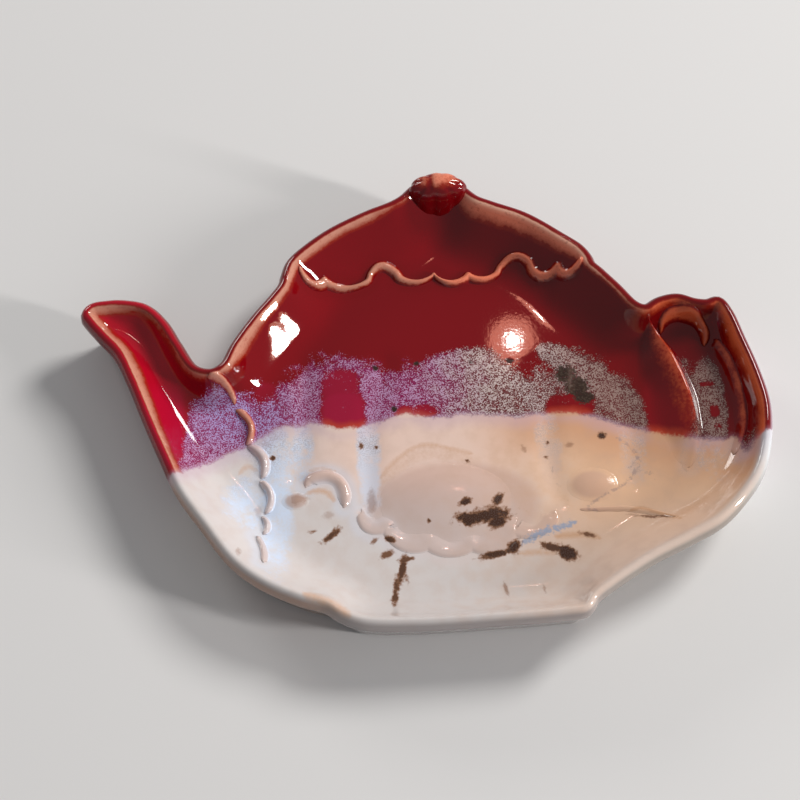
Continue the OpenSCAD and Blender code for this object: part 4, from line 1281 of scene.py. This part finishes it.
def glaze_group(form, colours):
    """All glazes of the rest, from the place on it and the lie of the clay."""
    inputs = [("Place", VECTOR, None)] + [(label, NUMBER, 0.0) for label, _ in MARKS]
    inputs += [("Break", NUMBER, 0.8), ("Rust", NUMBER, 0.0)]
    w, given, out = new_group("teapot_glaze", inputs,
                              [("Color", COLOUR), ("Roughness", NUMBER), ("Height", NUMBER)])
    place = given["Place"]
    x, y, _ = w.split(place)
    drift = w.minus(w.noise(place, Noise.DRIFT, 3), 0.5)
    fine = w.minus(w.noise(place, Noise.FINE, 3, 0.6), 0.5)
    fields = {"slow": w.noise(place, Noise.SLOW, 2), "drift": drift, "fine": fine}
    haze = frayed_mask(w, fields, given["Haze"], Fray.HAZE)
    haze = w.times(haze, w.step(given["Crest"], *Level.CREST_CLEAR, 1.0, 0.0))
    crystals = w.node("ShaderNodeGroup")
    crystals.node_tree = bpy.data.node_groups["crystals"]
    w.fill(crystals, ("Place", "Haze"), (place, haze))
    grain = crystals.outputs["Grain"]
    depth = w.plus(drift, Upward.DIP_DRIFT, given["Dip"])
    cover = w.step(w.plus(fine, Upward.DIP_FINE, depth), *Upward.DIP_COVER)
    blue, rosy, flower = (
        w.oval(place, form.place(shares), size) for shares, size in (BLUE_OVAL, ROSY_OVAL, FLOWER_OVAL))
    fields.update({
        "haze": haze, "grain": grain, "depth": depth, "rosy": rosy, "flower": flower,
        "blue": w.step(blue, *Level.BLUE_OVAL, 1.0, 0.0), "outer": w.step(given["Wall"], *Level.OUTER)})

    red = red_glaze(w, given, colours, x, y, fields)
    col = w.mix(cover, lower_glaze(w, given, colours, x, y, fields), red)
    veil = w.times(w.step(depth, *Upward.DIP_VEIL_BELOW), w.step(depth, *Upward.DIP_VEIL_ABOVE, 1.0, 0.0))
    col = w.mix(w.times(veil, w.times(given["Haze"], Cover.LIP_VEIL)), col, Tone.LIP_VEIL)

    cone = frayed(w, fields, given["Stain"], *Fray.STAIN)
    stain = w.times(w.ramp(cone, *Level.STAIN), given["Stain Depth"])
    stain = w.most(stain, given["Rust"])
    rust = w.mix(w.ramp(stain, *Level.IRON), Tone.RUST, colours.iron)
    rust = w.mix(cover, rust, colours.moss)
    col = w.mix(w.ramp(stain, *Level.RUST), col, rust)
    mossy = w.mix(w.step(fine, *Level.MOSS_EDGE), colours.moss, Tone.MOSS_EDGE)
    col = w.mix(frayed_mask(w, fields, given["Moss"], Fray.MOSS), col, mossy)
    bare = w.mix(w.step(fine, *Level.DARK_CLAY), colours.clay, Tone.DARK_CLAY)
    col = w.mix(w.step(given["Bare Clay"], *Level.BARE_CLAY), col, bare)
    w.put(out["Color"], col)

    rough = w.plus(grain, ROUGH_GRAIN, ROUGH)
    rough = w.plus(stain, ROUGH_STAIN, rough)
    w.put(out["Roughness"], w.plus(given["Bare Clay"], ROUGH_CLAY, rough))
    bumps = w.plus(drift, DRIFT_HEIGHT, w.times(fine, FINE_HEIGHT))
    bumps = w.plus(grain, GRAIN_HEIGHT, bumps)
    w.put(out["Height"], w.plus(stain, STAIN_HEIGHT, bumps))
    return w.tree


def glaze_material(name, break_share, stain=0.0):
    """One finish: the shared glaze with its own break over raised clay, and stain in it."""
    name += "_coat"
    if name in bpy.data.materials:
        return bpy.data.materials[name]
    form = clay_form()
    colours = bpy.context.scene.rest_colours
    if "teapot_glaze" not in bpy.data.node_groups:
        grain_group()
        glaze_group(form, colours)
    material = bpy.data.materials.new(name)
    material.use_nodes = True
    w = Wires(material.node_tree)
    shader = w.tree.nodes["Principled BSDF"]
    where = w.node("ShaderNodeVectorMath", operation="SCALE")
    w.put(where.inputs[0], w.node("ShaderNodeTexCoord").outputs["Object"])
    w.put(where.inputs["Scale"], 1 / MM)
    glaze = w.node("ShaderNodeGroup")
    glaze.node_tree = bpy.data.node_groups["teapot_glaze"]
    w.put(glaze.inputs["Place"], where.outputs["Vector"])
    for label, key in MARKS:
        mark = w.node("ShaderNodeAttribute", attribute_name=key)
        w.put(glaze.inputs[label], mark.outputs["Fac"])
    glaze.inputs["Break"].default_value = break_share
    if stain:
        lift = w.node("ShaderNodeAttribute", attribute_name="lift").outputs["Fac"]
        w.put(glaze.inputs["Rust"], w.step(lift, *Level.RUSTY_LIFT, 0.0, stain))
    bump = w.node("ShaderNodeBump")
    bump.inputs["Strength"].default_value = 1.0
    bump.inputs["Distance"].default_value = 1.0 * MM
    w.put(bump.inputs["Height"], glaze.outputs["Height"])
    w.put(shader.inputs["Base Color"], glaze.outputs["Color"])
    w.put(shader.inputs["Roughness"], glaze.outputs["Roughness"])
    w.put(shader.inputs["Normal"], bump.outputs["Normal"])
    shader.inputs["IOR"].default_value = 1.5
    return material


# Rings of points just inside the crest, then the grid of the basin: its pitch, its margin to the
# crest, and the least distance between two points, all in mm
INNER_RINGS = (0.35, 0.75, 1.2, 1.7, 2.25)
RING_SPARE_SHARE = 0.94
PITCH = 0.46
GRID_MARGIN = 2.5
LEAST_GAP = 0.22
WELD = 1e-7
# Rows of points down the rim, the wall and the foot's round
RIM_ROWS, WALL_ROWS, FOOT_ROWS = 7, 8, 3
# How far the wall draws in between rim and foot, and how far the rim stays inside the solid's
WALL_BELLY = 0.35
SKIN = 0.03
# The glaze takes the wall to lie as far outside the crest as it lies below it, and this much more
PAST_CREST = 0.2
# The foot ring's inner edge and the hollow's edge as shares of the slope's run, and the rows
# between them: the share of the way there, and of the hollow's height
RING_SHARE, RECESS_SHARE = 0.70, 0.85
RECESS_SHARES = [(0.0, 0.0), (0.4, 0.25), (0.8, 0.9), (1.0, 1.0)]


def basin_points(form):
    """Points of the upper face: the crest, rings inside it, and an even grid over the basin."""
    cloud = [form.crest]
    for off in INNER_RINGS:
        ring = form.crest - form.outward * off
        gap = line_distance(ring, form.crest, True)[0]
        cloud.append(ring[(gap > off * RING_SPARE_SHARE) & inside(ring, form.crest)])
    xs = np.arange(-form.wide / 2, form.wide / 2, PITCH)
    ys = np.arange(-form.deep / 2, form.deep / 2, PITCH * math.sqrt(3) / 2)
    gx, gy = np.meshgrid(xs, ys)
    gx[1::2] += PITCH / 2
    grid = np.stack([gx.ravel(), gy.ravel()], 1)
    cloud = np.concatenate([*cloud, grid[form.look_up(form.gap_map, grid) > GRID_MARGIN]])
    taken, keep = set(), []
    for i, p in enumerate(cloud):
        cell = (round(p[0] / LEAST_GAP), round(p[1] / LEAST_GAP))
        if i < len(form.crest) or cell not in taken:
            keep.append(i)
            taken.add(cell)
    return cloud[keep]


def mesh_inside(points, n):
    """Triangles over points inside the ring of the first n, which they may not leave."""
    made = delaunay_2d_cdt([Vector(p) for p in points], [], [list(range(n))], 1, WELD)
    return made[0], made[2], made[3]


def outer_rows(form, sizes):
    """Rings of points with their heights, down the rim and the wall, round the foot and under it."""
    foot_in, foot_round = sizes.foot_in / MM, sizes.foot_round / MM
    swell = form.rim_out - SKIN
    widest = form.top - form.rim_drop
    rows = []
    for k in range(1, RIM_ROWS + 1):
        a = math.pi / 2 * (1 - k / RIM_ROWS)
        height = form.top - form.rim_drop * (1 - math.sin(a))
        rows.append((form.crest + form.outward * swell * math.cos(a), height))
    for k in range(1, WALL_ROWS + 1):
        u = k / WALL_ROWS
        belly = WALL_BELLY * math.sin(math.pi * u)
        rows.append((form.crest + form.outward * (swell * (1 - u) - foot_in * u - belly * u),
                     widest * (1 - u) + foot_round * u))
    for k in range(1, FOOT_ROWS + 1):
        a = math.pi / 2 * k / FOOT_ROWS
        rows.append((form.crest - form.outward * (foot_in + foot_round * (1 - math.cos(a))),
                     foot_round * (1 - math.sin(a))))
    ring = ring_mean(form.inner_line(RING_SHARE), form.AIM)
    hollow = ring_mean(form.inner_line(RECESS_SHARE), form.AIM)
    for along, up in RECESS_SHARES:
        rows.append((ring * (1 - along) + hollow * along, sizes.recess / MM * up))
    return rows


def dish_mesh(form, sizes):
    """The dish: a meshed upper face, and rings of points down the rim, wall and foot."""
    n = len(form.crest)
    flat, tris, origin = mesh_inside(basin_points(form), n)
    top_xy = np.array([(v.x, v.y) for v in flat])
    z, gap = form.height(top_xy)
    z = np.minimum(z, form.top)
    ids = [0] * n
    for i, sources in enumerate(origin):
        for s in sources:
            if s < n:
                ids[s] = i
                z[i], gap[i] = form.top, 0.0
    points = [np.column_stack([top_xy, z])]
    rim_gap, wall, bare = [gap], [np.zeros(len(z))], [np.zeros(len(z))]
    faces = [list(t) for t in tris]

    rows = outer_rows(form, sizes)
    foot_row = RIM_ROWS + WALL_ROWS + FOOT_ROWS
    first = len(z)
    for k, (line, height) in enumerate(rows):
        above, ids = ids, list(range(first, first + n))
        points.append(np.column_stack([line, np.full(n, height)]))
        rim_gap.append(np.full(n, height - form.top - PAST_CREST))
        wall.append(np.full(n, min(1.0, (form.top - height) / form.rim_drop)))
        bare.append(np.full(n, 1.0 if k >= foot_row else 0.0))
        for i in range(n):
            j = (i + 1) % n
            faces.append([above[i], ids[i], ids[j], above[j]])
        first += n
    under = mesh_inside(rows[-1][0], n)
    place_of = [ids[sources[0]] for sources in under[2]]
    for t in under[1]:
        faces.append([place_of[v] for v in reversed(list(t))])
    points = np.concatenate(points)
    pool = np.zeros(len(points))
    pool[:len(z)] = form.pooling(top_xy)
    marks = {
        "lift": np.zeros(len(points)), "wall": np.concatenate(wall), "bare": np.concatenate(bare),
        "pool": pool, **glaze_marks(form, points[:, :2], np.concatenate(rim_gap))}
    return points, faces, marks


class REST_OT_dish(bpy.types.Operator):
    """Press the dish with its rim, sloping sides, floor, wall and foot"""

    bl_idname = "rest.dish"
    bl_label = "Dish"

    def execute(self, context):
        form = clay_form()
        sizes = context.scene.rest_sizes
        points, faces, marks = dish_mesh(form, sizes)
        glaze = glaze_material("dipped_glaze", break_share=0.0)
        make_piece("dish_glazed", points, faces, marks, glaze, "dish")
        return {"FINISHED"}


# The knob: facets round it and rings up it, depth of its flutes as a share of its reach and the
# power that keeps them narrow, then its unevenness
KNOB_SIDES, KNOB_RINGS = 112, 26
KNOB_FLUTE_SHARE, KNOB_FLUTE_POWER = 0.07, 5
KNOB_DENT, KNOB_DENT_SIZE, KNOB_SEED = 0.10, 1.1, 5
# Its first ring, the power that rounds its crown, and how fast its flutes set in down its side
KNOB_FIRST_RING, KNOB_CROWN_POWER, KNOB_FLUTE_RISE = 0.6, 0.8, 2.4
# Shares of its height over which its glaze breaks, and how much more it breaks at the back and less
# in the crease
KNOB_BREAK, KNOB_BACK_SHARE, KNOB_CREASE_SHARE = (0.34, 1.24), 0.34, 0.26
# Clear height over the knob, how deep its sole and its heel lie in the dish, and the crease beside
# its middle: place, half width and depth, in mm
KNOB_SKIN, KNOB_SOLE, KNOB_HEEL = 0.06, 0.25, 0.6
CREASE_AT, CREASE_HALF, CREASE_DEPTH = -1.5, 0.6, 0.18
# Where the glaze takes the knob to be: this far inside the crest, out of reach of its break
KNOB_CREST_GAP = 9.0


def knob_mesh(form):
    """The fluted knob: rings of points up to its crown, and a heel sunk into the lid."""
    centre = form.place(KNOB_SHARES)
    half = np.array([KNOB_TOP.x - KNOB_LOW.x, KNOB_TOP.y - KNOB_LOW.y]) / MM / 2
    peak = KNOB_TOP.z / MM - KNOB_SKIN
    sides, rings = KNOB_SIDES, KNOB_RINGS
    angles = np.arange(sides) / sides * 2 * math.pi
    flute = KNOB_FLUTE_SHARE * np.abs(np.cos(4 * angles + math.pi / 4)) ** KNOB_FLUTE_POWER
    points, shares = [], []
    for k in range(rings):
        u = (k + KNOB_FIRST_RING) / (rings - 1 + KNOB_FIRST_RING)
        reach = math.sin(u * math.pi / 2)
        lift = math.cos(u * math.pi / 2) ** KNOB_CROWN_POWER
        r = reach * (1 - flute * min(1, KNOB_FLUTE_RISE * u))
        xy = centre + np.column_stack([np.cos(angles) * half[0] * r, np.sin(angles) * half[1] * r])
        base = form.height(xy)[0] - KNOB_SOLE
        crease = np.exp(-((xy[:, 0] - centre[0] - CREASE_AT) / CREASE_HALF) ** 2)
        crease = crease * smooth_share(lift, 0.1, 0.8)
        uneven = KNOB_DENT * clean_noise(xy, KNOB_DENT_SIZE, KNOB_SEED)
        dent = uneven * reach - CREASE_DEPTH * crease
        points.append(np.column_stack([xy, np.minimum(base + (peak - base) * lift + dent, peak)]))
        back = KNOB_BACK_SHARE * np.sin(angles) * reach
        shares.append(lift + back - KNOB_CREASE_SHARE * crease)
    heel = np.column_stack([points[-1][:, :2], points[-1][:, 2] - KNOB_HEEL])
    points.append(heel)
    shares.append(np.zeros(sides))
    faces = []
    for k in range(rings):
        low, high = k * sides, (k + 1) * sides
        for i in range(sides):
            j = (i + 1) % sides
            faces.append([low + i, high + i, high + j, low + j])
    n = (rings + 1) * sides
    tips = np.array([[*centre, peak], [*centre, heel[:, 2].mean()]])
    faces += [[n, i, (i + 1) % sides] for i in range(sides)]
    faces += [[n + 1, rings * sides + (i + 1) % sides, rings * sides + i] for i in range(sides)]
    points = np.concatenate([*points, tips])
    lift = np.concatenate([*shares, [1.0, 0.0]])
    far = np.full(len(points), KNOB_CREST_GAP)
    marks = {"lift": smooth_share(lift, *KNOB_BREAK), "wall": np.zeros(len(points)),
             "pool": np.clip(0.7 - lift, 0, 1), **glaze_marks(form, points[:, :2], far)}
    return points, faces, marks


class REST_OT_knob(bpy.types.Operator):
    """Pinch the fluted knob onto the lid"""

    bl_idname = "rest.knob"
    bl_label = "Knob"

    def execute(self, context):
        points, faces, marks = knob_mesh(clay_form())
        glaze = glaze_material("knob_glaze", break_share=0.85)
        make_piece("lid_knob_glazed", points, faces, marks, glaze, "lid_knob")
        return {"FINISHED"}


class REST_OT_scallops(bpy.types.Operator):
    """Lay the scalloped ridges along the lid and down the spout"""

    bl_idname = "rest.scallops"
    bl_label = "Scallops"

    def execute(self, context):
        form = clay_form()
        sizes = context.scene.rest_sizes
        half, high = BEAD_SHARE * sizes.bead_width / MM / 2, sizes.bead_height / MM
        section = (half, half, high, PLAIN_POWER)
        tan = glaze_material("bead_glaze", break_share=1.0)
        bead_piece(form, "lid_scallops", [scallops(form, LID_SHARES)], section, tan)
        bead_piece(form, "spout_scallops", spout_paths(form), section, tan)
        return {"FINISHED"}


class REST_OT_handle(bpy.types.Operator):
    """Lay the ridges that frame the handle's opening"""

    bl_idname = "rest.handle"
    bl_label = "Handle ridges"

    def execute(self, context):
        form = clay_form()
        edge = glaze_material("ridge_glaze", break_share=0.55)
        tan = glaze_material("bead_glaze", break_share=1.0)
        for name, table, glaze, slot in (
                ("belly_edge", EDGE_SHARES, edge, "crimson_glaze"),
                ("handle_loop", LOOP_SHARES, tan, "tan_glaze"),
                ("handle_rib", RIB_SHARES, edge, "crimson_glaze")):
            bead_piece(form, name, [sized_path(form, table)], RIDGES[name], glaze)
        return {"FINISHED"}


class REST_OT_flower(bpy.types.Operator):
    """Lay the flower with its petals, buds, leaf and stem in the basin"""

    bl_idname = "rest.flower"
    bl_label = "Flower spray"

    def execute(self, context):
        form = clay_form()
        cream = glaze_material("flower_glaze", break_share=0.0)
        rust = glaze_material("stem_glaze", break_share=0.0, stain=0.14)
        for name, glaze, slot in (
                ("flower_dome", cream, "cream_glaze"), ("left_leaf", rust, "iron_glaze"),
                ("right_bud", cream, "cream_glaze")):
            shares, *size = DOMES[name]
            centre = form.place(shares)
            reach = np.array(size[:2]) / 2 * DOME_MARGIN
            lift = dome_lift(centre, *size)
            points, faces, marks = relief_mesh(form, lift, centre - reach, centre + reach, DOME_GRID)
            make_piece(name + "_glazed", points, faces, marks, glaze, name)
        for name, path, glaze, slot in (
                ("petal_skirt", scallops(form, PETAL_SHARES), cream, "cream_glaze"),
                ("left_bud", sized_path(form, LEFT_BUD_SHARES), cream, "cream_glaze"),
                ("right_stem", sized_path(form, STEM_SHARES), rust, "iron_glaze")):
            bead_piece(form, name, [path], RIDGES[name], glaze)
        return {"FINISHED"}


# Camera: turn and tilt in degrees, distance, the place that it aims at, and its lens
CAMERA_TURN, CAMERA_TILT, CAMERA_AWAY = 3.2, 64.5, 280 * MM
CAMERA_AIM = Vector((-4.0, 0.35, 6.0)) * MM
CAMERA_LENS, CAMERA_SENSOR = 72.45, 36
# Floor: half width in metres and drop below the part. Sky: colour and strength
FLOOR_HALF, FLOOR_DROP, FLOOR_COLOUR = 1.5, 0.1 * MM, (0.72, 0.71, 0.70)
SKY_COLOUR, SKY_STRENGTH = (0.94, 0.96, 1.0, 1), 0.24
# Places on the dish that mirror a window and a bulb, and the two large lamps, in metres
WINDOW_SHARES, BULB_SHARES = (-0.213, 0.142), (0.145, 0.142)
KEY_PLACE, SIDE_PLACE = (0.795, 0.599, 0.836), (-0.691, 0.987, 0.487)
# Points this far from a glint, in mm, give the slope under it
PROBE = 0.6


def camera_place():
    """Where the camera stands, and the way from its aim to it."""
    t, e = math.radians(CAMERA_TURN), math.radians(CAMERA_TILT)
    back = Vector((-math.sin(t) * math.cos(e), -math.cos(t) * math.cos(e), math.sin(e)))
    return CAMERA_AIM + back * CAMERA_AWAY, back


def plain_material(name, colour):
    """A matt material of one colour."""
    material = bpy.data.materials.new(name)
    material.use_nodes = True
    shader = material.node_tree.nodes["Principled BSDF"]
    shader.inputs["Base Color"].default_value = (*colour, 1)
    shader.inputs["Roughness"].default_value = 0.9
    return material


def add_lamp(name, at, size, power, colour, aim=(0, 0, 0)):
    """A round lamp that faces its aim: size in metres, power in watts."""
    data = bpy.data.lights.new(name, "AREA")
    data.shape = "DISK"
    data.size = size
    data.energy = power
    data.color = colour
    lamp = bpy.data.objects.new(name, data)
    bpy.context.scene.collection.objects.link(lamp)
    lamp.location = at
    lamp.rotation_mode = "QUATERNION"
    lamp.rotation_quaternion = (Vector(at) - Vector(aim)).to_track_quat("Z", "Y")
    return lamp


def mirrored(form, p):
    """Spot on the glaze at a point seen from above, its normal, and the way it mirrors the camera."""
    near = np.array([p, p + [PROBE, 0], p + [0, PROBE], p - [PROBE, 0], p - [0, PROBE]])
    z = form.height(near)[0]
    normal = Vector((-(z[1] - z[3]) / (2 * PROBE), -(z[2] - z[4]) / (2 * PROBE), 1)).normalized()
    spot = Vector((p[0], p[1], z[0])) * MM
    eye = (camera_place()[0] - spot).normalized()
    return spot, normal, 2 * normal.dot(eye) * normal - eye


def glint_lamp(name, shares, away, size, power, colour, across=0.0):
    """A small lamp placed where the glaze at shares mirrors it to the camera.

    A slope narrows its image, so the lamp may be made wider across the slope.
    """
    form = clay_form()
    p = form.place(shares)
    spot, normal, ray = mirrored(form, p)
    lamp = add_lamp(name, spot + ray * away, size, power, colour, spot)
    if across:
        fall = np.array(normal[:2]) / np.linalg.norm(normal[:2])
        step = fall * PROBE / 2
        turned = mirrored(form, p + step)[2] - mirrored(form, p - step)[2]
        side = (turned - turned.dot(ray) * ray).normalized()
        lamp.data.shape = "ELLIPSE"
        lamp.data.size = across
        lamp.data.size_y = size
        lamp.rotation_quaternion = Matrix((side, ray.cross(side), ray)).transposed().to_quaternion()
    return lamp


class REST_OT_stage(bpy.types.Operator):
    """Set the floor, the lamps and the camera"""

    bl_idname = "rest.stage"
    bl_label = "Stage"

    def execute(self, context):
        scene = context.scene
        mesh = bpy.data.meshes.new("floor")
        half = FLOOR_HALF
        corners = [(-half, -half, 0), (half, -half, 0), (half, half, 0), (-half, half, 0)]
        mesh.from_pydata(corners, [], [(0, 1, 2, 3)])
        floor = bpy.data.objects.new("floor", mesh)
        floor.location.z = -FLOOR_DROP
        scene.collection.objects.link(floor)
        mesh.materials.append(plain_material("floor_paint", FLOOR_COLOUR))

        world = bpy.data.worlds.new("studio")
        scene.world = world
        world.use_nodes = True
        sky = world.node_tree.nodes["Background"]
        sky.inputs["Color"].default_value = SKY_COLOUR
        sky.inputs["Strength"].default_value = SKY_STRENGTH

        glint_lamp("window", WINDOW_SHARES, away=1.0, size=0.052, power=5.2, colour=(1.0, 1.0, 1.0),
                   across=0.36)
        glint_lamp("window_glow", WINDOW_SHARES, away=1.01, size=0.075, power=0.40,
                   colour=(1.0, 0.50, 0.32), across=0.42)
        add_lamp("key", KEY_PLACE, size=0.4, power=11.2, colour=(1.0, 0.99, 0.97))
        add_lamp("side_fill", SIDE_PLACE, size=0.4, power=3.6, colour=(1.0, 0.98, 0.96))
        glint_lamp("bulb", BULB_SHARES, away=0.6, size=0.008, power=0.012, colour=(1.0, 0.97, 0.92))
        glint_lamp("lampshade", BULB_SHARES, away=0.602, size=0.026, power=0.016,
                   colour=(1.0, 0.36, 0.24))

        eye, back = camera_place()
        data = bpy.data.cameras.new("camera")
        data.lens = CAMERA_LENS
        data.sensor_width = CAMERA_SENSOR
        camera = bpy.data.objects.new("camera", data)
        scene.collection.objects.link(camera)
        camera.location = eye
        camera.rotation_mode = "QUATERNION"
        camera.rotation_quaternion = back.to_track_quat("Z", "Y")
        data.clip_start, data.clip_end = 0.01, 10
        scene.camera = camera
        scene.view_settings.view_transform = "Standard"
        return {"FINISHED"}


class REST_PT_panel(bpy.types.Panel):
    """Sizes, colours and pieces of the tea bag rest"""

    bl_idname = "REST_PT_panel"
    bl_label = "Tea Bag Rest"
    bl_space_type = "VIEW_3D"
    bl_region_type = "UI"
    bl_category = "Tea Rest"

    def draw(self, context):
        layout = self.layout
        for group in (context.scene.rest_sizes, context.scene.rest_colours):
            box = layout.box()
            for key in group.__annotations__:
                box.prop(group, key)
        for kind in OPERATORS:
            layout.operator(kind.bl_idname)


OPERATORS = (REST_OT_stage, REST_OT_dish, REST_OT_knob, REST_OT_scallops, REST_OT_handle, REST_OT_flower)
CLASSES = (RestSizes, RestColours, *OPERATORS, REST_PT_panel)


def register():
    for kind in CLASSES:
        bpy.utils.register_class(kind)
    bpy.types.Scene.rest_sizes = PointerProperty(type=RestSizes)
    bpy.types.Scene.rest_colours = PointerProperty(type=RestColours)


def unregister():
    del bpy.types.Scene.rest_sizes
    del bpy.types.Scene.rest_colours
    for kind in reversed(CLASSES):
        bpy.utils.unregister_class(kind)


def main():
    register()
    bpy.ops.rest.stage()
    bpy.ops.rest.dish()
    bpy.ops.rest.knob()
    bpy.ops.rest.scallops()
    bpy.ops.rest.handle()
    bpy.ops.rest.flower()


if __name__ == "__main__":
    main()
